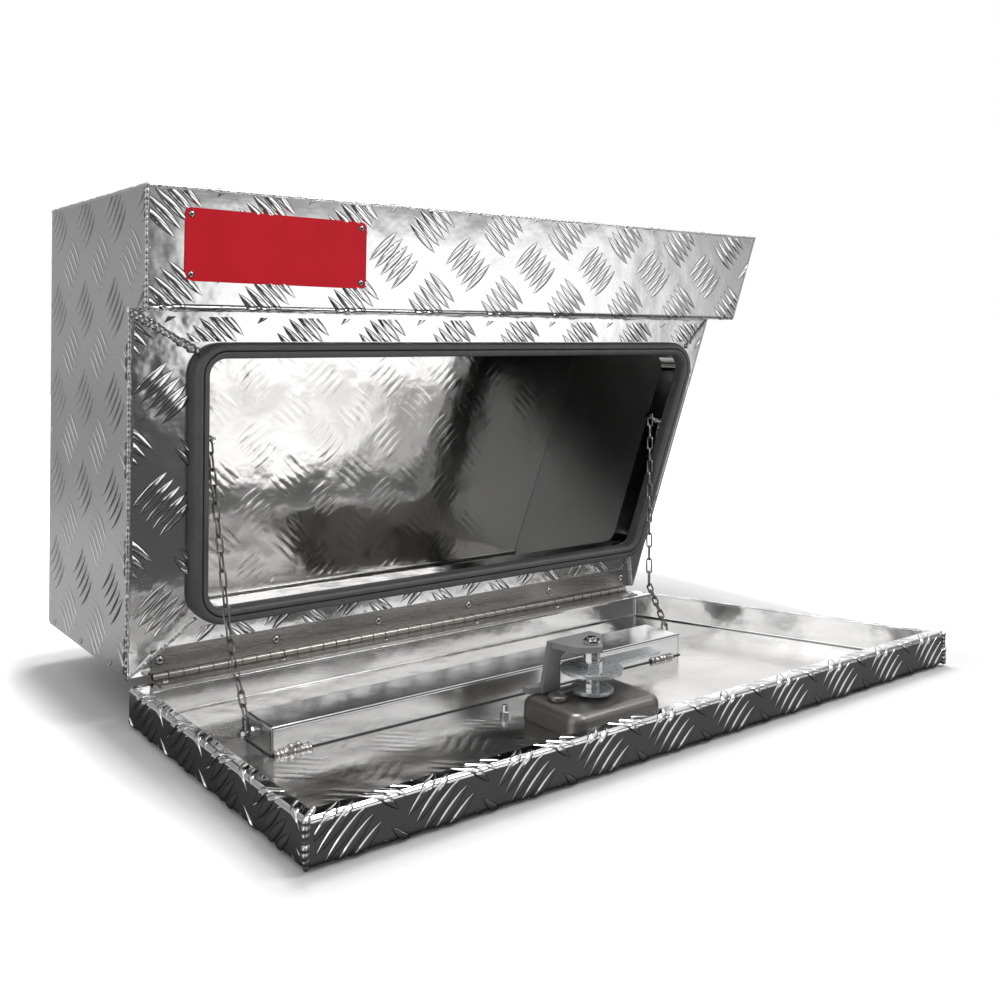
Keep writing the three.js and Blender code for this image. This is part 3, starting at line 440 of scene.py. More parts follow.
# A flat field of groups over a rectangle, from (0, 0) to (width, height), shifted by a phase.
def treadField(width, height, pitch, phase, shape):
    across, up = pitch
    columns = math.ceil(width / across) + tread["spare"]
    rows = math.ceil(height / up) + tread["spare"]
    halves = []
    for lean, shiftX, shiftY in ((tread["lean"], 0, 0), (-tread["lean"], across / 2, up / 2)):
        group = repeated(treadBar(*shape), tread["bars"], (0, tread["spacing"] / 1000, 0))
        group.data.transform(Matrix.Translation((0, -tread["spacing"] * (tread["bars"] - 1) / 2000, 0)))
        group.data.transform(Matrix.Rotation(math.radians(lean), 4, "Z"))
        group.data.transform(Matrix.Translation(
            ((phase[0] + shiftX - across) / 1000, (phase[1] + shiftY - up) / 1000, 0)))
        repeated(group, columns, (across / 1000, 0, 0))
        repeated(group, rows, (0, up / 1000, 0))
        halves.append(group)
    return joined(halves, "field")


# Cuts a flat piece to a convex outline given anticlockwise, and across it where the sheet will bend.
def cutTo(piece, corners, bends):
    cuts = []
    for index, (x, y) in enumerate(corners):
        nextX, nextY = corners[(index + 1) % len(corners)]
        cuts.append({"plane_co": (x / 1000, y / 1000, 0), "plane_no": Vector((nextY - y, x - nextX, 0)).normalized(),
                     "clear_outer": True, "use_fill": True})
    cuts += [{"plane_co": (0, line / 1000, 0), "plane_no": (0, 1, 0)} for line in bends]
    return edited(piece, *[(bpy.ops.mesh.bisect, {**cut, "threshold": tread["merge"]}) for cut in cuts])


# The section of a bent sheet's outer face as points with their distance along it and their outward way.
def bentSection(parts):
    section = []
    travelled = 0.0
    for kind, values in parts:
        if kind == "flat":
            (fromA, fromB), (toA, toB) = values
            run = math.hypot(toA - fromA, toB - fromB)
            way = ((toA - fromA) / run, (toB - fromB) / run)
            section += [(travelled, (fromA, fromB), (-way[1], way[0])),
                        (travelled + run, (toA, toB), (-way[1], way[0]))]
            travelled += run
        else:
            centreA, centreB, radius, start, end = values
            steps = 6
            for step in range(steps + 1):
                angle = math.radians(start + (end - start) * step / steps)
                normal = (math.cos(angle), math.sin(angle))
                section.append((travelled + radius * abs(math.radians(end - start)) * step / steps,
                                (centreA + radius * normal[0], centreB + radius * normal[1]), normal))
            travelled += radius * abs(math.radians(end - start))
    return section


def onSection(section, distance):
    for (startAt, start, startWay), (endAt, end, endWay) in zip(section, section[1:]):
        if distance <= endAt or endAt == section[-1][0]:
            share = 0 if endAt == startAt else (distance - startAt) / (endAt - startAt)
            point = [start[k] + (end[k] - start[k]) * share for k in (0, 1)]
            normal = [startWay[k] + (endWay[k] - startWay[k]) * max(0, min(1, share)) for k in (0, 1)]
            return point, normal


def bendCuts(start, arc):
    return [start + step * arc / tread["bendCuts"] for step in range(tread["bendCuts"] + 1)]


# The field cut to each region, then every point set onto the sheet by place(along, up, height)
def makeTread(name, finish, body, regions, place, pitch, phase, bends, shape):
    low = [min(corner[k] for region in regions for corner in region) for k in (0, 1)]
    high = [max(corner[k] for region in regions for corner in region) for k in (0, 1)]
    field = treadField(high[0] - low[0], high[1] - low[1], pitch, phase, shape)
    field.data.transform(Matrix.Translation((low[0] / 1000, low[1] / 1000, 0)))
    cuts = [cutTo(copyOf(field), region, bends) for region in regions]
    remove(field)
    piece = joined(cuts, name)
    for vertex in piece.data.vertices:
        vertex.co = place(vertex.co.x * 1000, vertex.co.y * 1000, vertex.co.z * 1000)
    finished(outwardFaces(piece), name, finish, body, tread["smooth"])


def treadPanel(name, finish, body, regions, place, pitch, phase, bends=()):
    # Under each panel's bars lies a wider, flat, near-black copy of them: painted shade round every bar's foot
    makeTread(name + "Lines", "rootLine", body, regions, place, pitch, phase, bends, shadeLineShape)
    makeTread(name, finish, body, regions, place, pitch, phase, bends, barShape)


def rectangle(x0, y0, x1, y1):
    return [(x0, y0), (x1, y0), (x1, y1), (x0, y1)]


# Like rectangle(), but the right side follows a slanted edge at a margin
def toSlant(left, low, margin, high, edge):
    return [(left, low), (edge(low) - margin, low), (edge(high) - margin, high), (left, high)]


# How far each sheet's bars reach, in the order of rectangle() or toSlant(), and the shift of their pattern
slant = math.hypot(1, box["taper"])
endBars = {"front": 2, "low": 3, "back": 208, "hoodFront": -36, "hoodBack": 209, "top": 397,
           "leftPhase": (30, 20), "rightPhase": (10, 0)}
topBars = {"reach": (3, -35, 745, 208), "phase": (12, 30)}
backBars = {"reach": (3, 8, 3, 397), "imprint": (8, 8, 8, 390), "phase": (40, 10)}
bottomBars = {"reach": (3, 4, rightEdge(0) - 4, 204), "phase": (0, 0)}
hoodBars = {"corners": [(3, 3), (746, 3), (746 - box["taper"] * 130, 133), (3, 133)], "bend": 4, "phase": (18, 12)}


def endRegions(stretch):
    edge = box["hoodBottom"] * stretch
    return [rectangle(endBars["front"], endBars["low"], endBars["back"], edge),
            rectangle(endBars["hoodFront"], edge, endBars["hoodBack"], endBars["top"] * stretch)]


def onLeftEnd(u, v, h):
    return mm(-h, u, v)


def onRightEnd(u, v, h):
    return mm(rightEdge(v / slant) + h / slant, u, v / slant - h * box["taper"] / slant)


treadPanel("leftEndTread", "endSheet", "cabinet", endRegions(1), onLeftEnd, pitches["ends"], endBars["leftPhase"])
treadPanel("rightEndTread", "endSheet", "cabinet", endRegions(slant), onRightEnd, pitches["ends"],
           endBars["rightPhase"])
treadPanel("topTread", "hoodSheet", "cabinet", [rectangle(*topBars["reach"])],
           lambda u, v, h: mm(u, v, box["height"] + h), pitches["sheet"], topBars["phase"])
treadPanel("backTread", "hoodSheet", "cabinet", [toSlant(*backBars["reach"], rightEdge)],
           lambda u, v, h: mm(u, box["depth"] + h, v), pitches["sheet"], backBars["phase"])
treadPanel("bottomTread", "hoodSheet", "cabinet", [rectangle(*bottomBars["reach"])],
           lambda u, v, h: mm(u, v, -h), pitches["sheet"], bottomBars["phase"])

hoodCorner = box["hoodBottom"] + hoodBars["bend"]
hoodSection = bentSection([
    ("flat", ((-box["hood"], box["height"]), (-box["hood"], hoodCorner))),
    ("bend", (hoodBars["bend"] - box["hood"], hoodCorner, hoodBars["bend"], 180, 270)),
    ("flat", ((hoodBars["bend"] - box["hood"], box["hoodBottom"]), (0, box["hoodBottom"])))])
hoodDrop = box["height"] - hoodCorner
hoodArc = hoodBars["bend"] * math.pi / 2


def onHood(u, v, h):
    (y, z), (wayY, wayZ) = onSection(hoodSection, v)
    if v < hoodDrop:
        wayY, wayZ = -1, 0
    elif v > hoodDrop + hoodArc:
        wayY, wayZ = 0, -1
    return mm(u, y + wayY * h, z + wayZ * h)


treadPanel("hoodTread", "hoodSheet", "cabinet", [hoodBars["corners"]], onHood, pitches["sheet"], hoodBars["phase"],
           bendCuts(hoodDrop, hoodArc))


# No bars under the badge: "wide" and "high" are the room left free, "across" and "up" the rivets' places in it
badge = {"x": 117.8, "z": 353.1, "tilt": 0.011, "wide": 169, "high": 57.5, "across": 80.2, "up": 24.45,
         "clearDepth": 20, "rivetFront": -39.5, "rivetRadius": 2.3, "rivetRise": 1.1}


def clearBadge():
    size = Vector((badge["wide"], badge["clearDepth"], badge["high"])) / 1000
    bpy.ops.mesh.primitive_cube_add(size=1)
    cutter = bpy.context.object
    cutter.data.transform(Matrix.Translation(mm(badge["x"], -box["hood"], badge["z"]))
                          @ Matrix.Rotation(badge["tilt"], 4, "Y") @ Matrix.Diagonal((*size, 1)))
    for name in ("hoodTread", "hoodTreadLines"):
        modify(bpy.data.objects[name], "BOOLEAN", object=cutter, operation="DIFFERENCE", solver="EXACT")
    remove(cutter)


clearBadge()
makeTread("backImprint", "insideSheet", "cabinet", [toSlant(*backBars["imprint"], rightEdge)],
          lambda u, v, h: mm(u, box["depth"] - box["sheet"] - h, v), pitches["sheet"], backBars["phase"], (),
          pressedShape)
print("cabinet tread made")


# Frame strips: between the outer edges and the seal, cut at the mitres
sealOut = opening["seal"] + opening["treadGap"]
innerLeft = opening["left"] - sealOut
innerBottom = opening["bottom"] - sealOut
innerTop = opening["top"] + sealOut


def innerRight(z):
    return rightEdge(z) - opening["rightMargin"] + sealOut * slant


frameTread = {
    "frameLeftTread": {"corners": [(5, 20), (innerLeft, 48), (innerLeft, 250), (5, 292)],
                       "pitch": pitches["leftStrip"], "phase": (26, 28)},
    "frameTopTread": {"corners": [(30, innerTop), (innerRight(innerTop) - 4, innerTop), (rightEdge(296) - 14, 296),
                                  (14, 296)],
                      "pitch": pitches["sheet"], "phase": (20, 42)},
    "frameRightTread": {"corners": [(innerRight(60), 60), (rightEdge(50) - 5, 50), (rightEdge(280) - 5, 280),
                                    (innerRight(262), 262)],
                        "pitch": pitches["sheet"], "phase": (10, 30)},
    "frameBottomTread": {"corners": [(56, 21), (rightEdge(21) - 22, 21), (innerRight(innerBottom) - 8, innerBottom),
                                     (66, innerBottom)],
                         "pitch": pitches["sill"], "phase": (6, 24)},
}
for panelName, strip in frameTread.items():
    treadPanel(panelName, "frameSheet", "cabinet", [strip["corners"]], lambda u, v, h: mm(u, -h, v), strip["pitch"],
               strip["phase"])
print("frame tread made")


# A wall of the door pan: the pattern runs over its rim flange, down the wall and round under the floor.
def panWall(name, start, end, outward, flange, phase):
    start, end, outward = Vector(start), Vector(end), Vector(outward).normalized()
    length = (end - start).length
    along = (end - start) / length
    bend, rim, bottomEdge, near = pan["bend"], pan["rim"], pan["bottom"], pan["endMargin"]
    section = bentSection([
        ("flat", ((-flange, rim), (-bend, rim))),
        ("bend", (-bend, rim - bend, bend, 90, 0)),
        ("flat", ((0, rim - bend), (0, bottomEdge + bend))),
        ("bend", (-bend, bottomEdge + bend, bend, 0, -90))])
    arc = bend * math.pi / 2
    firstBend = flange - bend
    secondBend = firstBend + arc + (rim - bottomEdge - 2 * bend)
    total = secondBend + arc

    def place(u, v, h):
        (out, z), (wayOut, wayZ) = onSection(section, v)
        h *= tread["rimShare"] + (1 - tread["rimShare"]) * max(0, min(1, (v - firstBend) / arc))
        if v < firstBend:
            wayOut, wayZ = 0, 1
        elif firstBend + arc < v < secondBend:
            wayOut, wayZ = 1, 0
        spot = start + along * u + outward * (out + wayOut * h)
        return mm(spot.x, spot.y, z + wayZ * h)

    region = [(near + flange, pan["rimMargin"]), (length - near - flange, pan["rimMargin"]), (length - near, flange),
              (length - near, total), (near, total), (near, flange)]
    treadPanel(name, "panSheet", "door", [region], place, pitches["walls"], phase,
               bendCuts(firstBend, arc) + bendCuts(secondBend, arc))


frontLeft, rearLeft = (pan["side"], pan["front"]), (pan["side"], pan["rear"])
frontRight = (panRightEdge(pan["front"]), pan["front"])
rearRight = (panRightEdge(pan["rear"]), pan["rear"])
panWall("panFrontTread", frontLeft, frontRight, (0, -1), pan["frontFlange"], phase=(-14, 55.5))
panWall("panLeftTread", rearLeft, frontLeft, (-1, 0), pan["sideFlange"], phase=(-4, 53.5))
panWall("panRightTread", rearRight, frontRight, (1, box["taper"]), pan["sideFlange"], phase=(10, 53.5))

# Under the pan the bars leave the lock dish free. The imprint shows inside, left of the dish.
underBars = {"left": (6, -296, 252, -8), "right": (384, -296, 5, -8), "front": (252, -296, 384, -262),
             "rear": (252, -162, 384, -8), "imprint": (6, -296, 252, -142), "phase": (20, 24)}
treadPanel("panUnderTread", "panSheet", "door",
           [rectangle(*underBars["left"]), toSlant(*underBars["right"], panRightEdge), rectangle(*underBars["front"]),
            rectangle(*underBars["rear"])],
           lambda u, v, h: mm(u, v, pan["bottom"] - h), pitches["sheet"], underBars["phase"])
makeTread("panImprint", "panSheet", "door", [rectangle(*underBars["imprint"])],
          lambda u, v, h: mm(u, v, pan["floor"] + h), pitches["sheet"], underBars["phase"], (), panPressedShape)
print("door tread made")


# Rubber seal: a bulb with a groove and two ridges, swept round the opening.
seal = {"section": [(0, 0.2), (0, -9.5), (1.2, -12.4), (3.6, -13.9), (5.6, -13.4), (6.4, -10.8), (7.2, -13.4),
                    (9.6, -13.9), (12.2, -12.4), (13.6, -9.6), (13.9, -5.2), (12.8, -4.6), (13.9, -3.8), (14, 0.2)],
        "steps": 10}


def roundedPath(corners, radius, steps, outset):
    points = []
    for index, corner in enumerate(corners):
        here = Vector(corner)
        before = Vector(corners[index - 1])
        after = Vector(corners[(index + 1) % len(corners)])
        wayIn, wayOut = (here - before).normalized(), (after - here).normalized()
        turn = math.acos(max(-1, min(1, wayIn.dot(wayOut))))
        centre = here - wayIn * radius * math.tan(turn / 2) + Vector((-wayIn.y, wayIn.x)) * radius
        startAngle = math.atan2(-wayIn.x, wayIn.y)
        for step in range(steps + 1):
            angle = startAngle + turn * step / steps
            points.append(centre + Vector((math.cos(angle), math.sin(angle))) * (radius + outset))
    return points


def makeSeal():
    corners = [(opening["left"], opening["bottom"]),
               (rightEdge(opening["bottom"]) - opening["rightMargin"], opening["bottom"]),
               (rightEdge(opening["top"]) - opening["rightMargin"], opening["top"]),
               (opening["left"], opening["top"])]
    rings = [[mm(point.x, y, point.y) for point in roundedPath(corners, opening["round"], seal["steps"], out)]
             for out, y in seal["section"]]
    count = len(rings[0])
    mesh = bpy.data.meshes.new("doorSeal")
    faces = []
    for ring in range(len(rings)):
        following = (ring + 1) % len(rings)
        for spot in range(count):
            beside = (spot + 1) % count
            faces.append((ring * count + spot, ring * count + beside, following * count + beside,
                          following * count + spot))
    mesh.from_pydata([point for ring in rings for point in ring], [], faces)
    piece = bpy.data.objects.new("doorSeal", mesh)
    bpy.context.scene.collection.objects.link(piece)
    finished(outwardFaces(piece), "doorSeal", "sealRubber", "cabinet", 50, ("door_seal",))


makeSeal()
print("seal made")


# Domed blind rivets, modelled once and copied. The hinge has a row of them in each leaf.
rivets = {"eye": 0.46, "sink": 0.6, "stub": 0.36, "rivetShadeRise": 0.35, "ring": 0.6, "footShadeRise": 0.25, "smooth": 50,
          "first": 29, "pitch": 107, "count": 6}
leafRivets = {"cabinet": {"y": -1, "z": 11, "radius": 3.3, "rise": 1.5},
              "door": {"y": -14, "z": -3.5, "radius": 3, "rise": 1.4}}


def domedRivet(radius, rise):
    bpy.ops.mesh.primitive_uv_sphere_add(segments=20, ring_count=12, radius=1)
    rivet = edited(bpy.context.object, above(0))
    for vertex in rivet.data.vertices:
        reach = math.hypot(vertex.co.x, vertex.co.y) * radius
        height = vertex.co.z * rise
        if reach < rivets["eye"] * radius and vertex.co.z > 0.5:
            height -= rivets["sink"]
        vertex.co = (vertex.co.x * radius / 1000, vertex.co.y * radius / 1000, height / 1000)
    return rivet


def rivetRow(name, body, places, turn, radius, rise, node):
    model = domedRivet(radius, rise)
    # Each rivet also gets a near-black plug in its eye and a flat near-black ring just wider than its head: painted
    # shade of the hole and round the foot
    stub = domedRivet(radius * rivets["stub"], rivets["rivetShadeRise"])
    stub.data.transform(Matrix.Translation((0, 0, (rise - rivets["rivetShadeRise"]) / 1000)))
    stub = joined([stub, domedRivet(radius + rivets["ring"], rivets["footShadeRise"])], "stub")
    replaced = [f"{node}_rivet_{index + 1}" for index in range(len(places))]
    for part, suffix, finish, nodesReplaced in ((model, "", "chrome", replaced), (stub, "Stubs", "darkSteel", ())):
        copies = [copyOf(part, Matrix.Translation(mm(*place)) @ turn) for place in places]
        remove(part)
        finished(joined(copies, name + suffix), name + suffix, finish, body, rivets["smooth"], nodesReplaced)


def badgeSpot(right, up):
    cos, sin = math.cos(badge["tilt"]), math.sin(badge["tilt"])
    across, high = right * badge["across"], up * badge["up"]
    return (badge["x"] + across * cos + high * sin, badge["rivetFront"], badge["z"] - across * sin + high * cos)


outFront = Matrix.Rotation(math.pi / 2, 4, "X")
for leafBody, turn in (("cabinet", outFront), ("door", Matrix.Identity(4))):
    row = leafRivets[leafBody]
    spots = [(rivets["first"] + index * rivets["pitch"], row["y"], row["z"]) for index in range(rivets["count"])]
    rivetRow(f"{leafBody}HingeRivets", leafBody, spots, turn, row["radius"], row["rise"], f"{leafBody}_hinge")
rivetRow("badgeRivets", "cabinet", [badgeSpot(*corner) for corner in rectangle(-1, -1, 1, 1)], outFront,
         badge["rivetRadius"], badge["rivetRise"], "badge")
print("rivets made")


# Piano hinge: round knuckles that belong to one leaf and the other in turn, each leaf a plate with eased edges
hinge = {"start": 21.5, "length": 546.5, "count": 41, "y": -3.5, "z": -1.5, "radius": 2.9, "play": 0.8,
         "leafTop": 20.5, "leafBack": -0.02, "leafReach": 23.5, "doorLeafTop": -3.5, "doorLeafUnder": -4.48,
         "thick": 1.0, "pin": 2.1, "knuckleEase": 0.15, "leafEase": 0.35, "pinEase": 0.3, "easeAngle": 60,
         "smooth": 40}


def lyingRod(radius, length, sides, x):
    bpy.ops.mesh.primitive_cylinder_add(vertices=sides, radius=radius / 1000, depth=length / 1000)
    rod = bpy.context.object
    rod.data.transform(Matrix.Rotation(math.pi / 2, 4, "Y"))
    rod.data.transform(Matrix.Translation(mm(x, hinge["y"], hinge["z"])))
    return rod


def hingeKnuckles(first):
    pitch = hinge["length"] / hinge["count"]
    barrel = lyingRod(hinge["radius"], pitch - hinge["play"], 18, hinge["start"] + (first + 0.5) * pitch)
    eased(barrel, hinge["knuckleEase"] / 1000, 1, hinge["easeAngle"])
    return repeated(barrel, (hinge["count"] - first + 1) // 2, (2 * pitch / 1000, 0, 0))


def makeHinge():
    start, end = hinge["start"], hinge["start"] + hinge["length"]
    upper = block((start, -hinge["thick"], hinge["z"]), (end, hinge["leafBack"], hinge["leafTop"]))
    lower = block((start, -hinge["leafReach"], hinge["doorLeafUnder"]), (end, hinge["y"], hinge["doorLeafTop"]))
    for name, body, plate, first in (("cabinetLeaf", "cabinet", upper, 0), ("doorLeaf", "door", lower, 1)):
        eased(plate, hinge["leafEase"] / 1000, 3, hinge["easeAngle"])
        leaf = finished(joined([plate, hingeKnuckles(first)], name), name, "hingeSteel", body, hinge["smooth"],
                        (f"{body}_hinge_leaf",))
        modify(leaf, "WEIGHTED_NORMAL", keep_sharp=True)
    # The pin is near black so that the gaps between the knuckles show dark: painted shade.
    pin = lyingRod(hinge["pin"], hinge["length"] + 1, 16, start + hinge["length"] / 2)
    eased(pin, hinge["pinEase"] / 1000, 2, hinge["easeAngle"])
    finished(pin, "hingePin", "darkSteel", "cabinet", hinge["smooth"], ("hinge_pin",))


makeHinge()
print("hinge made")


# Painted shade: near-black strips where the channel meets the pan's floor, and along the front edge of its top
channelShadeStrips = [((62, -137.7, -33.1), (509, -136.6, -32.1)), ((62, -92.4, -33.1), (509, -91.5, -32.3)),
                ((61.4, -137, -33.1), (62.4, -92, -32.3)), ((508.6, -137, -33.1), (509.6, -92, -32.3)),
                ((62, -137.3, -12.9), (509, -136.9, -12.4))]
channelJoints = joined([block(low, high) for low, high in channelShadeStrips], "channelJoints")
finished(channelJoints, "channelJoints", "rootLine", "door")
print("channel lines made")


# Detent lever: a round boss on the dish and a finger that rises toward the spindle
lever = {"x": 285, "y": -207, "top": -15, "boss": 8, "bossHigh": 4.5, "bossEase": 1.2, "reach": 26, "wide": 7,
         "fingerHigh": 5, "fingerEase": 0.8, "narrowing": 0.4, "sidestep": 3, "lift": 1.5, "climb": 3.2, "smooth": 40}


def makeLever():
    bpy.ops.mesh.primitive_cylinder_add(vertices=28, radius=lever["boss"] / 1000, depth=lever["bossHigh"] / 1000)
    boss = bpy.context.object
    boss.data.transform(Matrix.Translation(mm(lever["x"], lever["y"], lever["top"] + lever["bossHigh"] / 2)))
    eased(boss, lever["bossEase"] / 1000, 3, 60)
    bpy.ops.mesh.primitive_cube_add(size=1)
    finger = edited(bpy.context.object, (bpy.ops.mesh.subdivide, {"number_cuts": 2}))
    for vertex in finger.data.vertices:
        along = vertex.co.x + 0.5
        narrow = 1 - lever["narrowing"] * along
        vertex.co = mm(lever["x"] + along * lever["reach"],
                       lever["y"] + vertex.co.y * lever["wide"] * narrow + lever["sidestep"] * along,
                       lever["top"] + lever["lift"] + lever["climb"] * along
                       + (vertex.co.z + 0.5) * lever["fingerHigh"] * narrow)
    eased(finger, lever["fingerEase"] / 1000, 3, 50)
    finished(joined([boss, finger], "detentLever"), "detentLever", "castGrey", "door", lever["smooth"],
             ("detent_lever",))


makeLever()
print("lever made")


# Stay chains: oval links of round wire. The upper run goes from the bolt to the middle, the lower one from there by
# its last bend to the screw. "wire" is a radius, "hook" how far a run's first link reaches past its start, and "turn"
# how far the links are twisted.
chain = {"wire": 0.95, "width": 7.2, "pitch": 13.8, "hook": 2.4, "turn": 0.63, "smooth": 60}
chains = {
    "left": {"bolt": (75, 8, 190), "middle": (69.3, -48, 31), "last": (55.8, -107.5, -10.5),
             "screw": (55.2, -110, -22)},
    "right": {"bolt": (621.4, 10, 188.2), "middle": (558.5, -49, 12.5), "last": (518.5, -108, -10),
              "screw": (516.5, -110, -22)},
}
chainRuns = {"Upper": [("bolt", "middle", 0)], "Lower": [("last", "middle", math.pi / 2), ("screw", "last", 0)]}


def chainLink(pitch):
    centre = chain["width"] / 2 - chain["wire"]
    bpy.ops.mesh.primitive_torus_add(major_segments=16, minor_segments=8, major_radius=centre / 1000,
                                     minor_radius=chain["wire"] / 1000)
    link = bpy.context.object
    only(link)
    stretch = pitch / 2 + chain["wire"] - centre
    for vertex in link.data.vertices:
        vertex.co.x += math.copysign(stretch / 1000, vertex.co.x) if abs(vertex.co.x) > 1e-7 else 0
    return link


def chainRun(first, last, turnStart):
    start, end = Vector(first), Vector(last)
    way = (end - start).normalized()
    start = start - way * chain["hook"]
    length = (end - start).length
    count = max(1, round(length / chain["pitch"]))
    pitch = length / count
    normal = (Vector((1, 0, 0)) - way * way.x).normalized()
    model = chainLink(pitch)
    copies = []
    for index in range(count):
        twist = math.pi / 2 * index + turnStart + chain["turn"] * math.copysign(1, way.z)
        face = Matrix.Rotation(twist, 3, way) @ normal
        beside = face.cross(way)
        basis = Matrix((way, beside, face)).transposed().to_4x4()
        spot = start + way * pitch * (index + 0.5)
        copies.append(copyOf(model, Matrix.Translation(mm(*spot)) @ basis))
    remove(model)
    return copies


for side, points in chains.items():
    for half, runs in chainRuns.items():
        links = [link for first, last, turn in runs for link in chainRun(points[first], points[last], turn)]
        finished(joined(links, f"{side}Chain{half}"), f"{side}Chain{half}", "chainZinc",
                 f"{side}_chain_{half.lower()}", chain["smooth"], (f"chain_{side}_{half.lower()}",))
print("chains made")


# Weld beads: overlapping ripples laid along a seam, no two quite alike
welds = {"seed": 7, "wander": 0.18, "swell": 0.22, "overlap": 0.85, "smooth": 80, "soften": 0.5}
chance = random.Random(welds["seed"])
# A bead is listed by its ends, width, rise and the step from ripple to ripple. "grain" is the size of the mesh the
# ripples are melted into, "melt" how often it is smoothed.
seams = {
    "frameWelds": {"body": "cabinet", "finish": "weldMetal", "grain": 0.55, "melt": 2, "beads": [
        ((3, -0.4, 2), (58, -0.4, 40), 6, 1.8, 3.6),
        ((2, -0.6, 300), (60, -0.6, 267), 10, 2.4, 4.8),
        ((rightEdge(2) - 4, -0.4, 2), (rightEdge(44) - 26, -0.4, 38), 6, 1.8, 3.6),
        ((rightEdge(300) - 4, -0.4, 300), (rightEdge(270) - 26, -0.4, 270), 6, 1.8, 3.6)]},
    "edgeWelds": {"body": "cabinet", "finish": "weldMetal", "grain": 0.6, "melt": 2, "beads": [
        ((1.4, -0.6, 2), (1.4, -0.6, 301), 4.4, 1.7, 4.2),
        ((1.4, -37.6, 303), (1.4, -37.6, 398), 4.8, 1.8, 4.2),
        ((0.6, -38, 399.4), (0.6, 210, 399.4), 3.2, 1.2, 4.6),
        ((2, -38, 399.4), (747, -38, 399.4), 2.6, 1.0, 5.2),
        ((2, -0.6, 301.5), (rightEdge(301) - 4, -0.6, 301.5), 2.6, 1.0, 5.2)]},
    "doorWelds": {"body": "door", "finish": "weldMetal", "grain": 0.5, "melt": 2, "beads": [
        ((2.4, -299.8, -33), (2.4, -299.8, -6), 8, 2.4, 3.6),
        ((panRightEdge(-300) - 2, -299.6, -33), (panRightEdge(-300) - 2, -299.6, -6), 8, 2.4, 3.6),
        ((3, -299, -4.6), (12, -290, -4.8), 5, 1.4, 3.2)]},
    "channelWelds": {"body": "door", "finish": "hingeSteel", "grain": 0.6, "melt": 5, "beads": [
        ((66, -138, -31.4), (94, -139, -31.6), 8, 1.8, 3),
        ((78, -137.2, -28.6), (84, -137.2, -27.6), 7, 1.4, 4),
        ((470, -138, -31.4), (496, -138, -31.6), 8, 1.8, 3)]},
}


def weldBead(start, end, width, rise, pitch):
    start, end = Vector(start), Vector(end)
    count = max(2, round((end - start).length / pitch))
    bpy.ops.mesh.primitive_uv_sphere_add(segments=10, ring_count=6, radius=1)
    model = bpy.context.object
    way = (end - start).normalized()
    side = way.orthogonal().normalized()
    out = way.cross(side)
    ripples = []
    for index in range(count):
        size = 1 + chance.uniform(-1, 1) * welds["swell"]
        tilt = Matrix.Rotation(chance.uniform(-1, 1) * welds["wander"], 3, out)
        shape = Matrix((way * pitch * welds["overlap"], side * width / 2 * size, out * rise * size)).transposed()
        stray = side * chance.uniform(-1, 1) * width * welds["wander"] / 2
        spot = start + (end - start) * index / (count - 1) + stray
        ripples.append(copyOf(model, Matrix.Translation(mm(*spot)) @ (tilt @ shape * 0.001).to_4x4()))
    remove(model)
    return ripples


for seamName, seam in seams.items():
    seamPiece = joined([ripple for bead in seam["beads"] for ripple in weldBead(*bead)], seamName)
    modify(seamPiece, "REMESH", mode="VOXEL", voxel_size=seam["grain"] / 1000)
    modify(seamPiece, "SMOOTH", factor=welds["soften"], iterations=seam["melt"])
    finished(seamPiece, seamName, seam["finish"], seam["body"], welds["smooth"])
print("welds made")


# Floor and studio. A level is listed against compass angle, 0 in front of the box, 90 to its right and 180 behind it.
# "low" is what stands at eye height, "high" what is above it and "band" a strip of that. "ground" and "close" are
# painted reflections: the far and the near floor show in metal in these tones, not in their own pale colour.
studio = {"floorSize": 9, "floorGap": 0.0005, "pale": 0.78, "clouds": 3, "cloudShare": 0.02, "clearAt": 1.18,
          "clearSoft": 0.08, "apexX": -0.2, "apexY": 0.1, "cut": 0.085, "cutSoft": 0.03, "roof": 0.85,
          "roofFrom": 0.55, "roofTo": 0.7, "band": (0.17, 0.22, 0.34, 0.37), "fill": 0.6, "fadeFrom": 0.012,
          "fadeTo": 0.085}
surroundings = {
    "low": ((-180, 0.50), (-112, 0.50), (-98, 1.25), (-74, 1.25), (-62, 0.40), (-35, 0.32), (-15, 0.12), (8, 0.04),
            (21.3, 0.04), (23.2, 1.35), (44, 1.3), (49, 0.5), (78, 0.18), (100, 0.5), (128, 0.9), (150, 0.4),
            (180, 1)),
    "high": ((-180, 0.35), (-112, 0.35), (-98, 1.3), (-74, 1.3), (-62, 0.35), (-45, 0.25), (0, 0.18), (20, 0.2),
             (50, 0.3), (80, 0.2), (114, 1.0), (142, 1.2), (162, 0.4), (180, 1)),
    "band": ((-180, 0.35), (-112, 0.35), (-98, 1.3), (-74, 1.3), (-62, 0.35), (-45, 0.25), (8, 0.2), (16, 1.5),
             (50, 1.5), (60, 0.3), (80, 0.2), (110, 1.1), (145, 1.3), (162, 0.4), (180, 1)),
    "ground": ((-180, 0.42), (-100, 0.42), (-60, 0.18), (0, 0.03), (21, 0.03), (23, 1.2), (34, 1.2), (38, 0.34),
               (180, 1)),
    "close": ((-180, 0.55), (-100, 0.55), (-50, 0.03), (60, 0.03), (110, 0.3), (180, 1)),
}
lights = {
    "keyLight": {"place": (1.5, -1.7, 2.2), "aim": (0.1, 0, -0.2), "size": 0.9, "power": 26},
    "sideLight": {"place": (-2.6, -1.0, 1.0), "aim": (-0.3, 0, -0.2), "size": 1.0, "power": 3},
    "topLight": {"place": (0.5, 0.5, 2.2), "aim": (0, -0.1, -0.3), "size": 1.0, "power": 40},
}


class Studio(Finish):  # the same node helpers on another node tree
    def __init__(self, tree):
        self.tree = tree


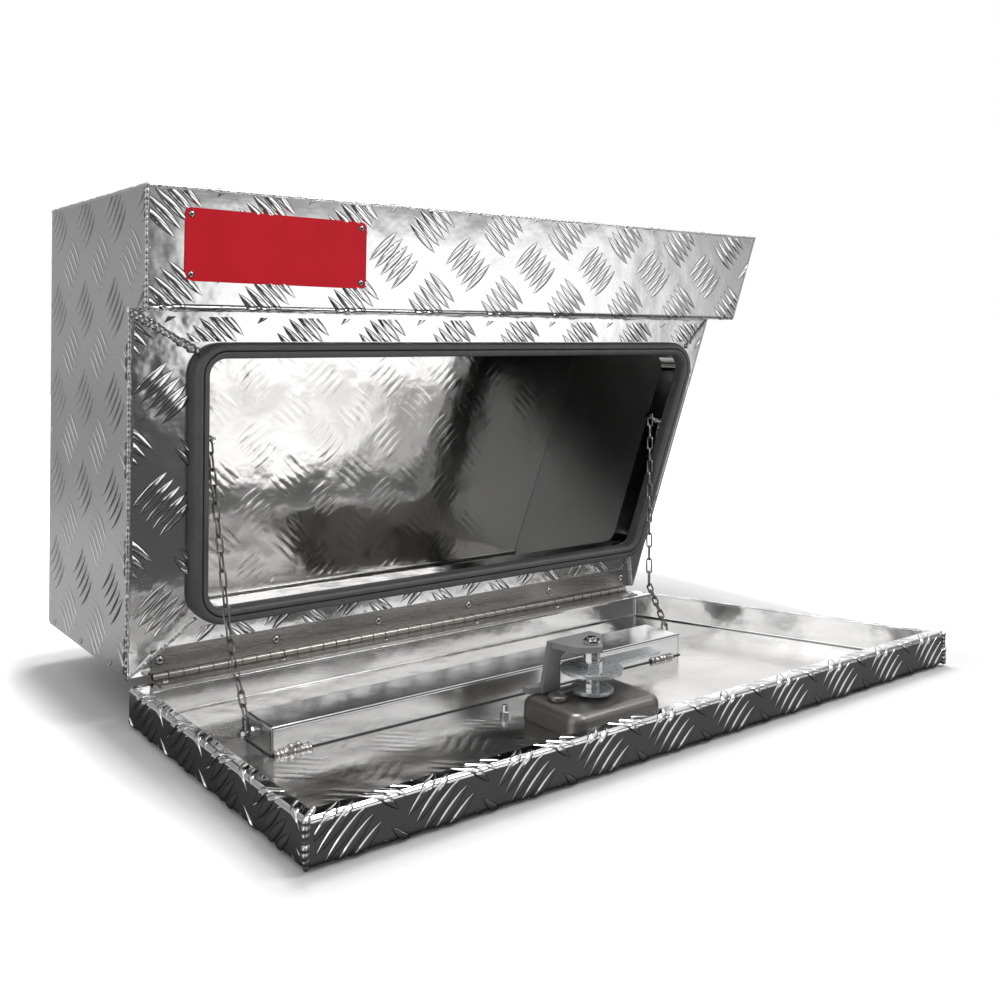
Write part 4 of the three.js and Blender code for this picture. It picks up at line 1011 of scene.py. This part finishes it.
def compassRing(paint, right, back, name):
    compass = paint.operate("ARCTAN2", right, 0 - back) * (0.5 / math.pi) + 0.5
    ring = paint.node("ValToRGB", {}, {0: compass})
    stops = ring.socket.node.color_ramp.elements
    first, *between, last = surroundings[name]
    stops[0].color, stops[1].color = grey(first[1]), grey(last[1])
    for angle, level in between:
        stops.new((angle + 180) / 360).color = grey(level)
    return ring


def makeFloor():
    low, high = cadBox
    bpy.ops.mesh.primitive_plane_add(size=studio["floorSize"], location=(0, 0, low.z - studio["floorGap"]))
    floor = bpy.context.object
    floor.name = "floor"
    paint = Finish("floorPaint", 0.0, 0.9)
    across, deep, _ = paint.axes(paint.place)
    distance = paint.node("VectorMath", {"operation": "LENGTH"}, {0: paint.place}, 1)
    outX = paint.operate("MAXIMUM", paint.operate("MAXIMUM", low.x - across, across - high.x), 0)
    outY = paint.operate("MAXIMUM", paint.operate("MAXIMUM", low.y - deep, deep - high.y), 0)
    outside = paint.operate("SQRT", outX * outX + outY * outY, 0)
    ground, close = (compassRing(paint, across - studio["apexX"], deep - studio["apexY"], name)
                     for name in ("ground", "close"))
    far = paint.span(distance, studio["clearAt"] - studio["clearSoft"], studio["clearAt"])
    level = paint.noise(studio["clouds"], 2) * studio["cloudShare"] + studio["pale"]
    plain = paint.node("CombineColor", {}, {0: level, 1: level, 2: level})
    paintedReflection = paint.mix(far, close, ground)
    # Painted reflection: glossy rays see the floor in the tables' tones, all other rays see it pale
    paint.feed(paint.shader.inputs["Base Color"], paint.mix(paint.ray("Glossy"), plain, paintedReflection))
    # Painted light: to the camera alone the floor glows white from just outside the box, wiping out its shadows there
    paintedGlow = paint.span(outside, studio["fadeFrom"], studio["fadeTo"], "SMOOTHSTEP")
    paint.feed(paint.shader.inputs["Emission Color"], (1, 1, 1, 1))
    paint.feed(paint.shader.inputs["Emission Strength"], paintedGlow * paint.ray("Camera"))
    floor.data.materials.append(paint.material)


def makeWorld():
    world = bpy.data.worlds.new("studio")
    bpy.context.scene.world = world
    world.use_nodes = True
    paint = Studio(world.node_tree)
    right, back, high = paint.axes(paint.node("TexCoord", {}, {}, "Generated"))
    low, upper, band = (compassRing(paint, right, back, name) for name in ("low", "high", "band"))
    bandFrom, bandFull, bandFading, bandTo = studio["band"]
    inBand = paint.span(high, bandFrom, bandFull) * paint.span(high, bandTo, bandFading)
    upper = paint.mix(inBand, upper, band)
    walls = paint.mix(paint.span(high, studio["cut"], studio["cut"] + studio["cutSoft"]), low, upper)
    panels = paint.mix(paint.span(high, studio["roofFrom"], studio["roofTo"]), walls, grey(studio["roof"]))
    around = paint.mix(paint.ray("Glossy"), grey(studio["fill"]), panels)
    colour = paint.mix(paint.ray("Camera"), around, (1, 1, 1, 1))
    paint.feed(world.node_tree.nodes["Background"].inputs["Color"], colour)


def makeLights():
    for name, values in lights.items():
        place = Vector(values["place"])
        bpy.ops.object.light_add(type="AREA", location=place)
        light = bpy.context.object
        light.name = name
        light.data.size = values["size"]
        light.data.energy = values["power"]
        light.rotation_euler = (Vector(values["aim"]) - place).to_track_quat("-Z", "Y").to_euler()


makeFloor()
makeWorld()
makeLights()
bpy.context.scene.view_settings.view_transform = "Standard"
print("studio lit")
